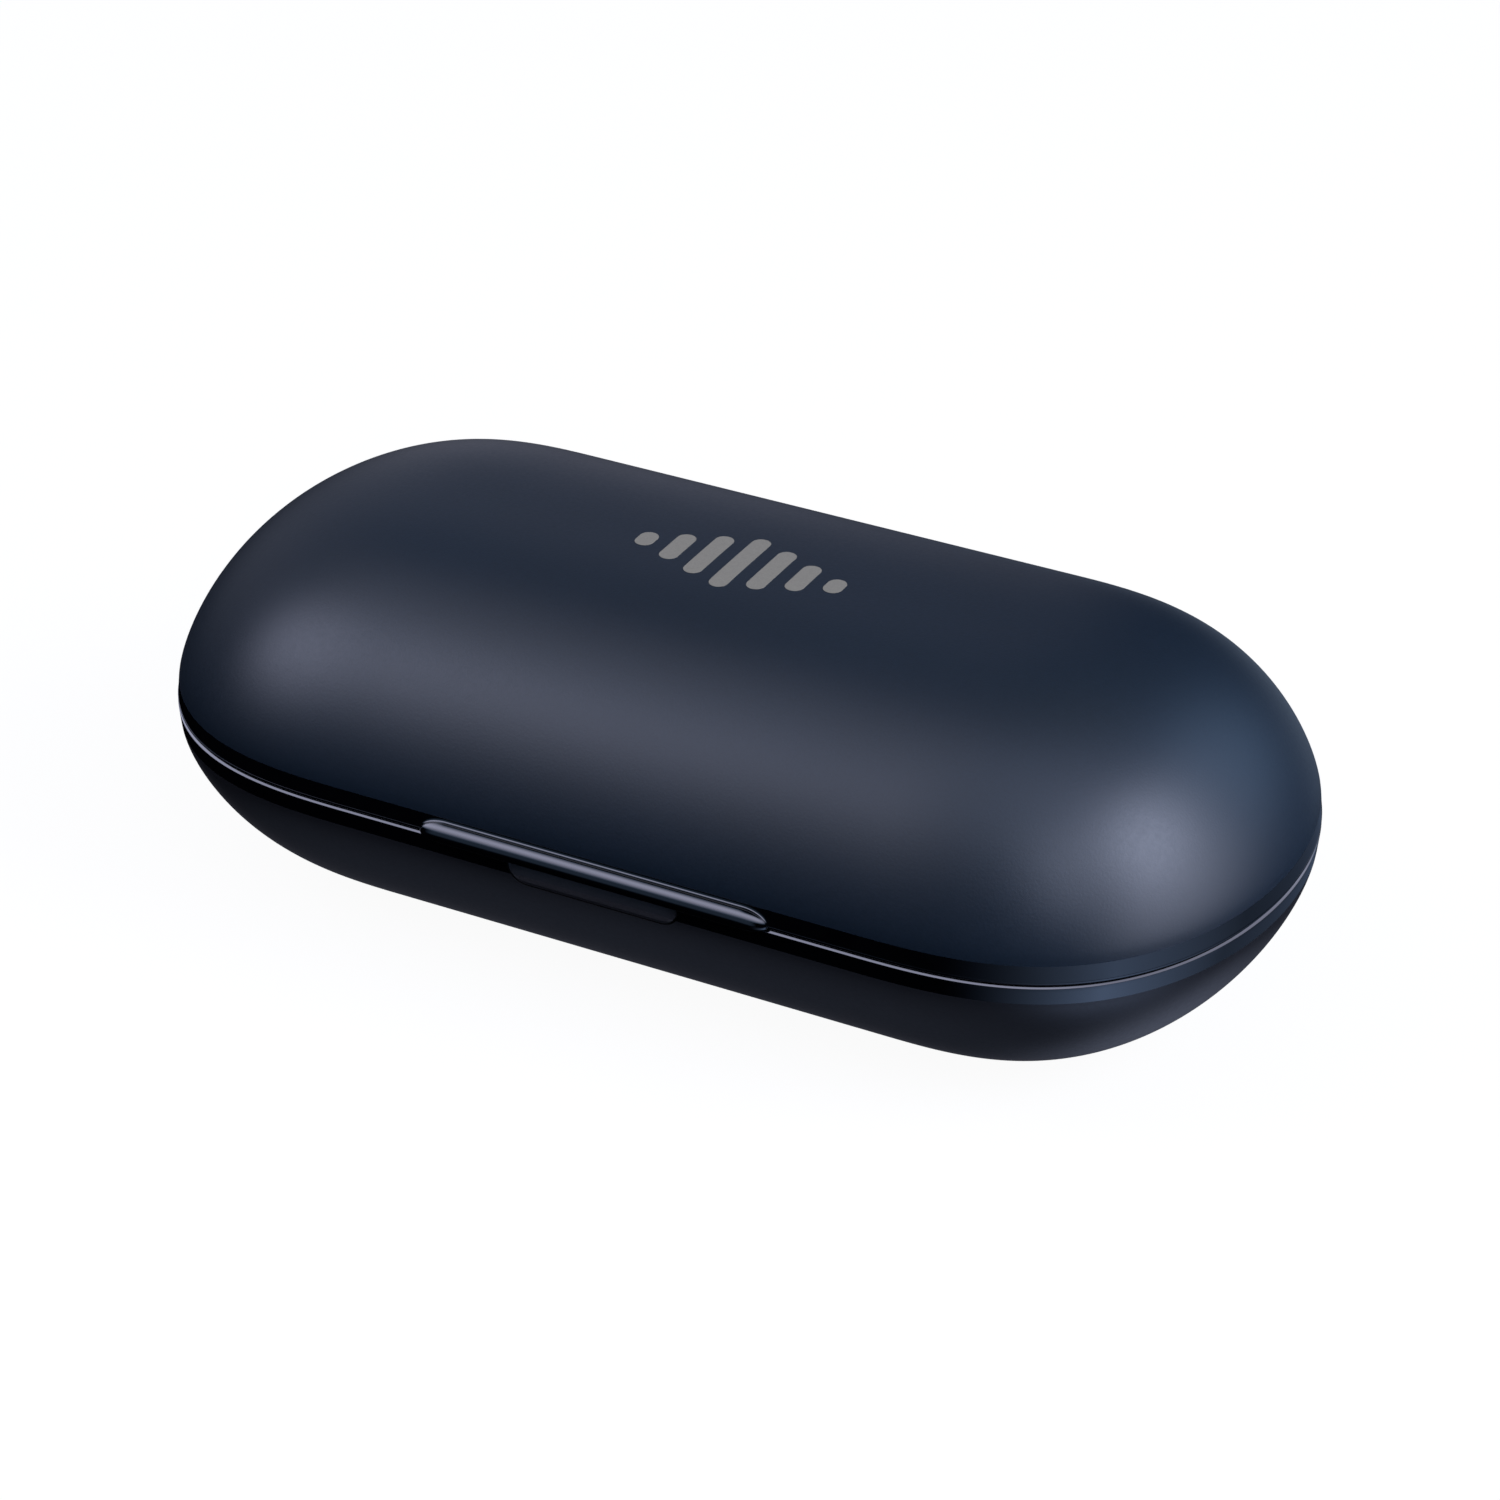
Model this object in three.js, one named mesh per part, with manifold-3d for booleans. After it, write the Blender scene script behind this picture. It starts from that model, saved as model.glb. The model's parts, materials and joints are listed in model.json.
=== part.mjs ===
// A pocket charging case for wireless earbuds: a pill-shaped clamshell with a hinged lid,
// two earbud pockets, sprung charging contacts, a battery, a circuit board and a USB-C socket.
// Units are millimetres. +X is the length, +Y runs from the finger lip to the hinge, +Z is up,
// and the origin is the centre of the flat the case stands on.
import * as THREE from "three";
import { mergeVertices } from "three/addons/utils/BufferGeometryUtils.js";
import Module from "manifold-3d";

// ---- Driving dimensions -------------------------------------------------------------------
const LENGTH = 78.8;
const WIDTH = 40;
const STRAIGHT = 35.8; // straight run of each long side
const END_FULLNESS = 2.885; // exponent of the end caps: 2 is an ellipse, more is squarer
const PARTING = 12.25; // height of the joint between base and lid
const PARTING_GAP = 0.1;
const BAND = 1.37; // height of the polished band on each side of the joint
const BAND_TAPER = 0.12; // how far the band leans in, away from the joint
const EDGE_CHAMFER = 0.12;

const DOME_RISE = 11.94; // lid above its band
const DOME_Z_POWER = 1.4725;
const DOME_INSET_POWER = 0.6517;
const DOME_END_ANGLE = 88; // degrees, where the nearly flat crown is capped

const BOWL_DROP = 11.05; // base below its band, if it ran to a point
const BOWL_INSET = 14.9;
const BOWL_Z_POWER = 1.4424;
const BOWL_INSET_POWER = 0.8932;

const WALL = 1.3; // outer shells
const MOULDING = 0.9; // thin inner mouldings
const FIT = 0.15; // assembly gap between neighbouring mouldings

const RIM_INSET = 2.6; // inner edge of the polished rim rings
const LEDGE_INSET = 3.6; // inner edge of the ledge that carries the tray or the liner
const SPIGOT_INSET = 2.25; // outer face of the spigot that plugs into a shell
const LEDGE_DEPTH = 1.2;
const DECK_RECESS = 0.6; // tray and liner decks sit this far inside the rims
const DECK = 1.0;

const HINGE_Y = WIDTH / 2 + 0.1;
const KNUCKLE_R = 1.2;
const LID_KNUCKLE = 16; // length of the lid's middle knuckle
const HINGE_LENGTH = 29.2; // over both outer knuckles
const KNUCKLE_GAP = 0.15;
const NOTCH_Y = 18.7; // bottom of the notches that the knuckles turn in
const PIN_R = 0.4;
const PIN_BORE_R = 0.44;
const STOP = { reach: 1.6, top: -0.16, height: 0.9, length: 4.6 }; // ledge the open lid lands on

const LIP = { halfLength: 12.55, radius: 0.71, rise: 0.39, taper: 2.2 };
const RECESS = { halfWidth: 6.1, drop: 1.88, corner: 1.3, depth: 0.6, flare: 1.05 };

const POCKET_BODY = new THREE.Vector2(22.5, 0.5);
const POCKET_BODY_R = 9;
const POCKET_TIP = new THREE.Vector2(14.6, -5.5);
const POCKET_TIP_R = 6.2;
const POCKET_ROUND = 3.6; // how far the pocket wall has drawn in at its floor
const POCKET_POWER = 0.667;
const POCKET_FLOOR = 4.4;
const LID_POCKET_TOP = 21.9;

const CONTACT_X = 20;
const CONTACT_Y = [-1.25, 2.25];
const CONTACT_R = 0.65;
const CONTACT_BOTTOM = 2.4;
const CONTACT_TOP = 4.35;
const CONTACT_COLLAR = 0.95; // underside of the plunger's collar, above the board
const CONTACT_FLOOR = 0.15;

const BOARD = { halfWidth: 11, front: 4.2, back: 15.4, z: 6.9, thickness: 0.8 };
const POSTS = [[-8.8, 5.9], [8.8, 5.9], [-8.8, 12.6], [8.8, 12.6]];
const POST_R = 1.4;
const USB = { width: 8.94, height: 3.16, wall: 0.27, depth: 7.3, mouth: 17.3, z: 7.3 };
const LIGHT_X = [-2.6, 0, 2.6];
const LIGHT_Y = 7.6;
const CLOSING_MAGNET = { x: 13.5, y: -15, length: 6, width: 2.3, height: 1.5 };

// ---- Materials ----------------------------------------------------------------------------
const finish = (color, roughness, metalness) =>
  new THREE.MeshStandardMaterial({ color, roughness, metalness });
const satinNavy = finish(0x1c2436, 0.42, 0.25);
const glossNavy = finish(0x0e1422, 0.08, 0.1);
const mattBlack = finish(0x16181c, 0.55, 0);
const steel = finish(0xb9bcc2, 0.3, 1);
const gold = finish(0xd8b25a, 0.25, 1);
const magnetNickel = finish(0x9a9ca1, 0.25, 1);
const boardGreen = finish(0x14452c, 0.5, 0);
const chipBlack = finish(0x1a1a1c, 0.6, 0);
const foil = finish(0xaeb2b8, 0.45, 0.7);
const foam = finish(0x2b2b2e, 0.95, 0);
const amberFilm = finish(0xa8641f, 0.35, 0);
const frosted = finish(0xe8ecef, 0.35, 0);
const redWire = finish(0xa81c1c, 0.45, 0);
const blackWire = finish(0x17171a, 0.45, 0);
const whitePlastic = finish(0xe5e3dc, 0.5, 0);

// ---- Solids -------------------------------------------------------------------------------
const wasm = await Module();
wasm.setup();

function solid(geometry) {
  const bare = geometry.clone();
  bare.deleteAttribute("normal");
  bare.deleteAttribute("uv");
  const merged = mergeVertices(bare, 1e-4);
  return new wasm.Manifold(
    new wasm.Mesh({
      numProp: 3,
      vertProperties: new Float32Array(merged.attributes.position.array),
      triVerts: new Uint32Array(merged.index.array),
    }),
  );
}

function geometryOf(manifold) {
  const { vertProperties, triVerts } = manifold.getMesh();
  const geometry = new THREE.BufferGeometry();
  geometry.setAttribute("position", new THREE.BufferAttribute(new Float32Array(vertProperties), 3));
  geometry.setIndex(new THREE.BufferAttribute(new Uint32Array(triVerts), 1));
  geometry.computeVertexNormals();
  return geometry;
}

const join = (first, ...rest) => rest.reduce((sum, next) => sum.add(next), first);
const cut = (first, ...rest) => rest.reduce((left, next) => left.subtract(next), first);

function piece(name, shape, material) {
  const geometry = shape.isBufferGeometry ? shape : geometryOf(shape);
  const mesh = new THREE.Mesh(geometry, material);
  mesh.name = name;
  return mesh;
}

function box(x0, x1, y0, y1, z0, z1) {
  const geometry = new THREE.BoxGeometry(x1 - x0, y1 - y0, z1 - z0);
  return solid(geometry.translate((x0 + x1) / 2, (y0 + y1) / 2, (z0 + z1) / 2));
}

// A cylinder or cone frustum standing on z0, or lying along X from x0.
function post(x, y, r, z0, z1, sides = 16) {
  const geometry = new THREE.CylinderGeometry(r, r, z1 - z0, sides).rotateX(Math.PI / 2);
  return solid(geometry.translate(x, y, (z0 + z1) / 2));
}

function bar(x0, x1, r, y = HINGE_Y, z = PARTING, sides = 24) {
  const geometry = new THREE.CylinderGeometry(r, r, x1 - x0, sides).rotateZ(Math.PI / 2);
  return solid(geometry.translate((x0 + x1) / 2, y, z));
}

// A closed solid through rings of points, each counter-clockwise from above, lowest first.
function loft(rings) {
  const count = rings[0].length;
  const positions = rings.flat().flatMap((p) => p.toArray());
  const index = [];
  for (let r = 0; r < rings.length - 1; r++) {
    for (let i = 0; i < count; i++) {
      const a = r * count + i;
      const b = r * count + ((i + 1) % count);
      index.push(a, b, b + count, a, b + count, a + count);
    }
  }
  for (const top of [false, true]) {
    const ring = top ? rings.at(-1) : rings[0];
    const start = top ? (rings.length - 1) * count : 0;
    const centre = ring.reduce((sum, p) => sum.add(p), new THREE.Vector3()).divideScalar(count);
    const c = positions.length / 3;
    positions.push(...centre.toArray());
    for (let i = 0; i < count; i++) {
      const a = start + i;
      const b = start + ((i + 1) % count);
      index.push(c, top ? a : b, top ? b : a);
    }
  }
  const geometry = new THREE.BufferGeometry();
  geometry.setAttribute("position", new THREE.Float32BufferAttribute(positions, 3));
  geometry.setIndex(index);
  return geometry;
}

// ---- The plan outline and the two shell profiles --------------------------------------------
// Full-ended pill: straight sides, and caps whose curvature starts from zero.
function caseOutline(inset, z, steps = 11) {
  const halfStraight = STRAIGHT / 2;
  const reach = LENGTH / 2 - inset - halfStraight;
  const half = WIDTH / 2 - inset;
  const quarter = [];
  for (let i = 0; i <= steps; i++) {
    const t = (i / steps) * (Math.PI / 2);
    const cap = i === steps ? 0 : Math.cos(t) ** (2 / END_FULLNESS);
    quarter.push([halfStraight + reach * cap, half * Math.sin(t)]);
  }
  const back = [...quarter].reverse();
  return [
    ...quarter.map(([x, y]) => new THREE.Vector3(x, y, z)),
    ...back.map(([x, y]) => new THREE.Vector3(-x, y, z)),
    ...quarter.slice(1).map(([x, y]) => new THREE.Vector3(-x, -y, z)),
    ...back.slice(0, -1).map(([x, y]) => new THREE.Vector3(x, -y, z)),
  ];
}

const prism = (inset, z0, z1) =>
  solid(loft([caseOutline(inset, z0), caseOutline(inset, z1)]));

const ring = (outer, inner, z0, z1) => cut(prism(outer, z0, z1), prism(inner, z0 - 1, z1 + 1));

function domePoint(angle) {
  const span = WIDTH / 2 - BAND_TAPER;
  return {
    inset: BAND_TAPER + span * (1 - Math.cos(angle) ** DOME_INSET_POWER),
    z: PARTING + BAND + DOME_RISE * Math.sin(angle) ** DOME_Z_POWER,
  };
}

function bowlPoint(angle) {
  return {
    inset: BAND_TAPER + BOWL_INSET * (1 - Math.cos(angle) ** BOWL_INSET_POWER),
    z: PARTING - BAND - BOWL_DROP * Math.sin(angle) ** BOWL_Z_POWER,
  };
}

// The profile moved inwards by depth, square to its surface. Up is +1 for the bowl, -1 for the dome.
function profile(point, endAngle, depth, up, steps = 9) {
  const made = [];
  for (let i = 0; i <= steps; i++) {
    const angle = Math.max((i / steps) * endAngle, 1e-4);
    const here = point(angle);
    const before = point(angle * 0.999);
    const after = point(Math.min(angle * 1.001, Math.PI / 2 - 1e-6));
    const rise = Math.abs(after.z - before.z);
    const run = Math.abs(after.inset - before.inset);
    const size = Math.hypot(rise, run);
    made.push({
      inset: here.inset + (depth * rise) / size,
      z: here.z + (up * depth * run) / size,
    });
  }
  return made;
}

const bowlEndAngle = Math.asin(((PARTING - BAND) / BOWL_DROP) ** (1 / BOWL_Z_POWER));
const domeEndAngle = THREE.MathUtils.degToRad(DOME_END_ANGLE);

// Bowl surface as a solid, moved in by depth and carried up to the height top.
function bowlSolid(depth, top) {
  const points = profile(bowlPoint, bowlEndAngle, depth, 1).reverse();
  points[0].z = depth;
  const rings = points.map(({ inset, z }) => caseOutline(inset, Math.max(z, depth)));
  if (top > PARTING - BAND) rings.push(caseOutline(points.at(-1).inset, top));
  return solid(loft(rings));
}

function domeSolid(depth, bottom) {
  const points = profile(domePoint, domeEndAngle, depth, -1);
  const rings = points.map(({ inset, z }) => caseOutline(inset, z));
  if (bottom < PARTING + BAND) rings.unshift(caseOutline(points[0].inset, bottom));
  return solid(loft(rings));
}

// ---- Earbud pockets --------------------------------------------------------------------------
// The outline round an earbud's body circle and its smaller ear-tip circle. Side is +1 or -1.
function pocketOutline(side, inset, z, steps = 12) {
  const apart = POCKET_TIP.clone().sub(POCKET_BODY);
  const heading = apart.angle();
  const wrap = Math.acos((POCKET_BODY_R - POCKET_TIP_R) / apart.length());
  const points = [];
  const arc = (centre, r, from, to) => {
    for (let i = 0; i <= steps; i++) {
      const a = from + ((to - from) * i) / steps;
      points.push([centre.x + r * Math.cos(a), centre.y + r * Math.sin(a)]);
    }
  };
  arc(POCKET_BODY, POCKET_BODY_R - inset, heading + wrap, heading + 2 * Math.PI - wrap);
  arc(POCKET_TIP, POCKET_TIP_R - inset, heading - wrap, heading + wrap);
  const placed = points.map(([x, y]) => new THREE.Vector3(side * x, y, z));
  return side > 0 ? placed : placed.reverse();
}

// A pocket's solid from its mouth to its floor, grown by grow all round. Works upwards or downwards.
function pocketSolid(side, mouth, floor, grow, steps = 6) {
  const away = Math.sign(mouth - floor);
  const depth = Math.abs(mouth - floor) + grow;
  const rings = [pocketOutline(side, -grow, mouth + away * 2 * FIT)];
  for (let i = 1; i <= steps; i++) {
    const t = (i / steps) * (Math.PI / 2);
    const inset = POCKET_ROUND * (1 - Math.max(Math.cos(t), 0) ** POCKET_POWER) - grow;
    rings.push(pocketOutline(side, inset, mouth - away * depth * Math.sin(t) ** POCKET_POWER));
  }
  return solid(loft(away > 0 ? rings.reverse() : rings));
}

// ---- Lid ---------------------------------------------------------------------------------
function lidShell() {
  return cut(domeSolid(0, PARTING + BAND), domeSolid(WALL, PARTING + BAND - 1));
}

// The finger lip: a half-round bar along the front edge, drawn out to a point at each end.
function fingerLip() {
  const sides = 14;
  const stations = 9;
  const rings = [];
  for (let i = -stations; i <= stations; i++) {
    const reach = Math.min(Math.abs(i), stations) / stations;
    const x = Math.sign(i) * LIP.halfLength * (1 - (1 - reach) ** LIP.taper);
    const r = Math.max(LIP.radius * Math.sqrt(1 - (Math.abs(x) / LIP.halfLength) ** 14), 0.02);
    const ringPoints = [];
    for (let k = 0; k < sides; k++) {
      const a = (-2 * Math.PI * k) / sides;
      ringPoints.push(new THREE.Vector3(r * Math.sin(a), r * Math.cos(a), x));
    }
    rings.push(ringPoints);
  }
  const along = loft(rings).applyMatrix4(
    new THREE.Matrix4().makeBasis(
      new THREE.Vector3(0, 1, 0),
      new THREE.Vector3(0, 0, 1),
      new THREE.Vector3(1, 0, 0),
    ),
  );
  const whole = solid(along.translate(0, -WIDTH / 2, PARTING + LIP.rise));
  const edge = PARTING + PARTING_GAP / 2;
  const inside = box(-20, 20, -WIDTH / 2 - 0.12, 0, PARTING - 3, edge);
  return cut(whole, inside);
}

function lidRim() {
  const bottom = PARTING + PARTING_GAP / 2;
  const bandTop = PARTING + BAND;
  const deckSide = bottom + DECK_RECESS + DECK + FIT / 2;
  const band = solid(
    loft([
      caseOutline(EDGE_CHAMFER, bottom),
      caseOutline(0, bottom + EDGE_CHAMFER),
      caseOutline(BAND_TAPER, bandTop),
    ]),
  );
  const upper = ring(SPIGOT_INSET, LEDGE_INSET, bandTop, deckSide + LEDGE_DEPTH);
  const hollow = join(prism(RIM_INSET, bottom - 1, deckSide), prism(LEDGE_INSET, bottom, bandTop + 9));
  const frame = cut(join(band, prism(SPIGOT_INSET, bandTop - 0.2, bandTop + 0.4), upper), hollow);
  const half = LID_KNUCKLE / 2;
  const end = HINGE_LENGTH / 2 + KNUCKLE_GAP;
  const notches = [-1, 1].map((side) => {
    const inner = side * (half + KNUCKLE_GAP / 2);
    const outer = side * end;
    return box(Math.min(inner, outer), Math.max(inner, outer), NOTCH_Y, 23, bottom - 1, bandTop);
  });
  return cut(
    join(cut(frame, ...notches), fingerLip(), bar(-half, half, KNUCKLE_R)),
    bar(-half - 1, half + 1, PIN_BORE_R, HINGE_Y, PARTING, 16),
  );
}

function lidLiner() {
  const face = PARTING + PARTING_GAP / 2 + DECK_RECESS;
  const deck = prism(RIM_INSET + FIT, face, face + DECK);
  const cups = [-1, 1].map((side) => pocketSolid(side, face, LID_POCKET_TOP, MOULDING));
  const hollows = [-1, 1].map((side) => pocketSolid(side, face, LID_POCKET_TOP, 0));
  const trimmed = cups.map((cup) => cut(cup, box(-50, 50, -30, 30, face - 5, face)));
  return cut(join(deck, ...trimmed), ...hollows);
}

// ---- Base --------------------------------------------------------------------------------
function roundedRect(width, height, radius) {
  const w = width / 2 - radius;
  const h = height / 2 - radius;
  const shape = new THREE.Shape();
  shape.absarc(w, h, radius, 0, Math.PI / 2);
  shape.absarc(-w, h, radius, Math.PI / 2, Math.PI);
  shape.absarc(-w, -h, radius, Math.PI, 1.5 * Math.PI);
  shape.absarc(w, -h, radius, 1.5 * Math.PI, 2 * Math.PI);
  return shape;
}

// A rounded rectangle in XZ, centred on z, pushed along +Y from y0 to y1.
function yBlock(width, height, radius, y0, y1, z, x = 0, segments = 5) {
  const geometry = new THREE.ExtrudeGeometry(roundedRect(width, height, radius), {
    depth: y1 - y0,
    bevelEnabled: false,
    curveSegments: segments,
  });
  return solid(geometry.rotateX(Math.PI / 2).translate(x, y1, z));
}

// The dish a fingertip reaches into under the lip: its sides flare out towards its mouth.
function fingerRecess() {
  const tall = 6;
  const slope = RECESS.flare / RECESS.depth;
  const rings = [-RECESS.depth, 2].map((out) => {
    const width = 2 * (RECESS.halfWidth + slope * out);
    const outline = roundedRect(width, tall, RECESS.corner).getPoints(5);
    return outline.map(({ x, y }) => new THREE.Vector3(x, y, WIDTH / 2 + out));
  });
  const geometry = loft(rings).rotateX(Math.PI / 2);
  return solid(geometry.translate(0, 0, PARTING - RECESS.drop + tall / 2));
}

function baseShell() {
  const top = PARTING - BAND;
  const outer = bowlSolid(0, top);
  const skin = cut(outer, bowlSolid(WALL, top + 1));
  const posts = POSTS.map(([x, y]) => post(x, y, POST_R, 0, BOARD.z).intersect(outer));
  const pilots = POSTS.map(([x, y]) => post(x, y, 0.5, BOARD.z - 3.2, BOARD.z + 1, 10));
  const usbHole = yBlock(USB.width + 0.5, USB.height + 0.5, 1.8, 12, 22, USB.z);
  return cut(join(skin, ...posts), fingerRecess(), usbHole, ...pilots);
}

// One of the base's two outer knuckles, with a rounded outer end and the ledge that stops the lid.
function baseKnuckle(side) {
  const inner = LID_KNUCKLE / 2 + KNUCKLE_GAP;
  const length = HINGE_LENGTH / 2 - inner;
  const nose = 1.6;
  const outline = [new THREE.Vector2(0, 0), new THREE.Vector2(KNUCKLE_R, 0)];
  for (let i = 0; i <= 5; i++) {
    const t = (i / 5) * (Math.PI / 2);
    const r = i === 5 ? 0 : KNUCKLE_R * Math.cos(t);
    outline.push(new THREE.Vector2(r, length - nose + nose * Math.sin(t)));
  }
  const turned = new THREE.LatheGeometry(outline, 24).rotateZ((-side * Math.PI) / 2);
  const ends = [side * inner, side * (inner + STOP.length)].sort((a, b) => a - b);
  const stopTop = PARTING + STOP.top;
  const ledge = box(...ends, HINGE_Y, HINGE_Y + STOP.reach, stopTop - STOP.height, stopTop);
  return join(solid(turned.translate(side * inner, HINGE_Y, PARTING)), ledge);
}

function baseRim() {
  const top = PARTING - PARTING_GAP / 2;
  const bandBottom = PARTING - BAND;
  const deckSide = top - DECK_RECESS - DECK - FIT / 2;
  const band = solid(
    loft([
      caseOutline(BAND_TAPER, bandBottom),
      caseOutline(0, top - EDGE_CHAMFER),
      caseOutline(EDGE_CHAMFER, top),
    ]),
  );
  const lower = prism(SPIGOT_INSET, deckSide - LEDGE_DEPTH, bandBottom + 0.2);
  const hollow = join(prism(RIM_INSET, deckSide, top + 1), prism(LEDGE_INSET, deckSide - 5, deckSide + 1));
  const clearance = LID_KNUCKLE / 2 + KNUCKLE_GAP / 2;
  const notch = box(-clearance, clearance, NOTCH_Y, 23, bandBottom - 0.1, top + 1);
  const frame = cut(join(band, lower), hollow, notch, fingerRecess());
  const pinEnd = HINGE_LENGTH / 2 - 0.6;
  return cut(
    join(frame, baseKnuckle(-1), baseKnuckle(1)),
    bar(-pinEnd, HINGE_LENGTH, PIN_BORE_R, HINGE_Y, PARTING, 16),
  );
}

function cradleTray() {
  const face = PARTING - PARTING_GAP / 2 - DECK_RECESS;
  const deck = prism(RIM_INSET + FIT, face - DECK, face);
  const cups = [-1, 1].map((side) => pocketSolid(side, face, POCKET_FLOOR, MOULDING));
  const trimmed = cups.map((cup) => cut(cup, box(-50, 50, -30, 30, face, face + 5)));
  const hollows = [-1, 1].map((side) => pocketSolid(side, face, POCKET_FLOOR, 0));
  const contactHoles = [-1, 1].flatMap((side) =>
    CONTACT_Y.map((y) => post(side * CONTACT_X, y, CONTACT_R + 0.08, 2, 6, 12)),
  );
  const lightHoles = LIGHT_X.map((x) => post(x, LIGHT_Y, 0.7, face - 3, face + 1, 12));
  return cut(join(deck, ...trimmed), ...hollows, ...contactHoles, ...lightHoles);
}

// ---- Hinge ---------------------------------------------------------------------------------
function hingePin() {
  const end = HINGE_LENGTH / 2 - 0.7;
  return bar(-end, end, PIN_R, HINGE_Y, PARTING, 16);
}

// ---- Charging contacts ------------------------------------------------------------------------
const lathe = (points, sides = 12) =>
  new THREE.LatheGeometry(points.map(([r, z]) => new THREE.Vector2(r, z)), sides).rotateX(
    Math.PI / 2,
  );

class CoilCurve extends THREE.Curve {
  constructor(radius, rise, turns) {
    super();
    Object.assign(this, { radius, rise, turns });
  }
  getPoint(t, target = new THREE.Vector3()) {
    const a = 2 * Math.PI * this.turns * t;
    return target.set(this.radius * Math.cos(a), this.radius * Math.sin(a), this.rise * t);
  }
}

// One sprung contact, standing on its board: a barrel, the plunger that travels in it, and a spring.
function contact(label) {
  const height = CONTACT_TOP - CONTACT_BOTTOM;
  const floor = CONTACT_FLOOR;
  const collar = CONTACT_COLLAR;
  const barrel = lathe([
    [0, 0], [CONTACT_R, 0], [CONTACT_R, height], [0.4, height], [0.4, height - 0.2],
    [0.52, height - 0.2], [0.52, floor], [0, floor],
  ]);
  const plunger = lathe([
    [0, collar], [0.46, collar], [0.46, collar + 0.4], [0.34, collar + 0.5],
    [0.34, height + 0.6], [0.24, height + 0.8], [0, height + 0.88],
  ]);
  const wireR = 0.045;
  const wire = new THREE.Shape();
  wire.absarc(0, 0, wireR, 0, 2 * Math.PI);
  const spring = new THREE.ExtrudeGeometry(wire, {
    steps: 30,
    extrudePath: new CoilCurve(0.4, collar - floor - 4 * wireR, 3),
    curveSegments: 2,
  });
  spring.translate(0, 0, floor + 2 * wireR);
  const group = new THREE.Group();
  group.add(
    piece(`contact_barrel_${label}`, barrel, gold),
    piece(`contact_plunger_${label}`, plunger, gold),
    piece(`contact_spring_${label}`, spring, steel),
  );
  return group;
}

function contacts() {
  const group = new THREE.Group();
  for (const side of [-1, 1]) {
    CONTACT_Y.forEach((y, i) => {
      const made = contact(`${side < 0 ? "left" : "right"}_${i === 0 ? "front" : "rear"}`);
      made.position.set(side * CONTACT_X, y, CONTACT_BOTTOM);
      group.add(made);
    });
  }
  return group;
}

// ---- Electronics -----------------------------------------------------------------------------
// A rounded plate lying flat, with its top and bottom edges broken by a small chamfer.
function plate(width, depth, height, radius, chamfer = 0) {
  return new THREE.ExtrudeGeometry(roundedRect(width - 2 * chamfer, depth - 2 * chamfer, radius), {
    depth: height - 2 * chamfer,
    bevelEnabled: chamfer > 0,
    bevelThickness: chamfer,
    bevelSize: chamfer,
    bevelSegments: 1,
    curveSegments: 4,
  }).translate(0, 0, chamfer);
}

function mainBoard() {
  const depth = BOARD.back - BOARD.front;
  const blank = plate(2 * BOARD.halfWidth, depth, BOARD.thickness, 0.8);
  blank.translate(0, (BOARD.front + BOARD.back) / 2, BOARD.z);
  const usbSlot = box(-4.8, 4.8, USB.mouth - USB.depth - 0.3, 20, BOARD.z - 1, BOARD.z + 2);
  const holes = POSTS.map(([x, y]) => post(x, y, 0.7, BOARD.z - 1, BOARD.z + 2, 12));
  return cut(solid(blank), usbSlot, ...holes);
}

function usbShell() {
  const tube = (grow, y0, y1) =>
    yBlock(
      USB.width - 2 * grow, USB.height - 2 * grow, USB.height / 2 - grow, y0, y1, USB.z, 0, 6,
    );
  const rear = USB.mouth - USB.depth;
  return cut(tube(0, rear, USB.mouth), tube(USB.wall, rear - 1, USB.mouth + 1));
}

function usbTongue() {
  const rear = USB.mouth - USB.depth;
  const grow = USB.wall + 0.06;
  const plug = yBlock(
    USB.width - 2 * grow, USB.height - 2 * grow, USB.height / 2 - grow, rear, rear + 2, USB.z, 0, 6,
  );
  const tongue = yBlock(6.69, 0.7, 0.3, rear + 1.9, USB.mouth - 0.6, USB.z, 0, 3);
  return join(plug, tongue);
}

function lightPipe() {
  const face = PARTING - PARTING_GAP / 2 - DECK_RECESS;
  const foot = box(-4.2, 4.2, LIGHT_Y - 1, LIGHT_Y + 1, face - DECK - 1.2, face - DECK - 0.1);
  const posts = LIGHT_X.map((x) => post(x, LIGHT_Y, 0.6, face - DECK - 0.3, face, 14));
  return join(foot, ...posts);
}

function screw() {
  const points = [[0, -2.6], [0.3, -2.4]];
  const pitch = 0.55;
  for (let i = 0; i < 4; i++) {
    const z = -2.3 + i * pitch;
    points.push([0.34, z], [0.46, z + 0.4 * pitch], [0.34, z + 0.8 * pitch]);
  }
  points.push([0.4, 0], [0.95, 0], [0.95, 0.3], [0.7, 0.5], [0.28, 0.5], [0.28, 0.2], [0, 0.2]);
  return lathe(points, 10);
}

function screws() {
  const group = new THREE.Group();
  POSTS.forEach(([x, y], i) => {
    const made = piece(`board_screw_${i + 1}`, screw(), steel);
    made.position.set(x, y, BOARD.z + BOARD.thickness);
    group.add(made);
  });
  return group;
}

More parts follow.
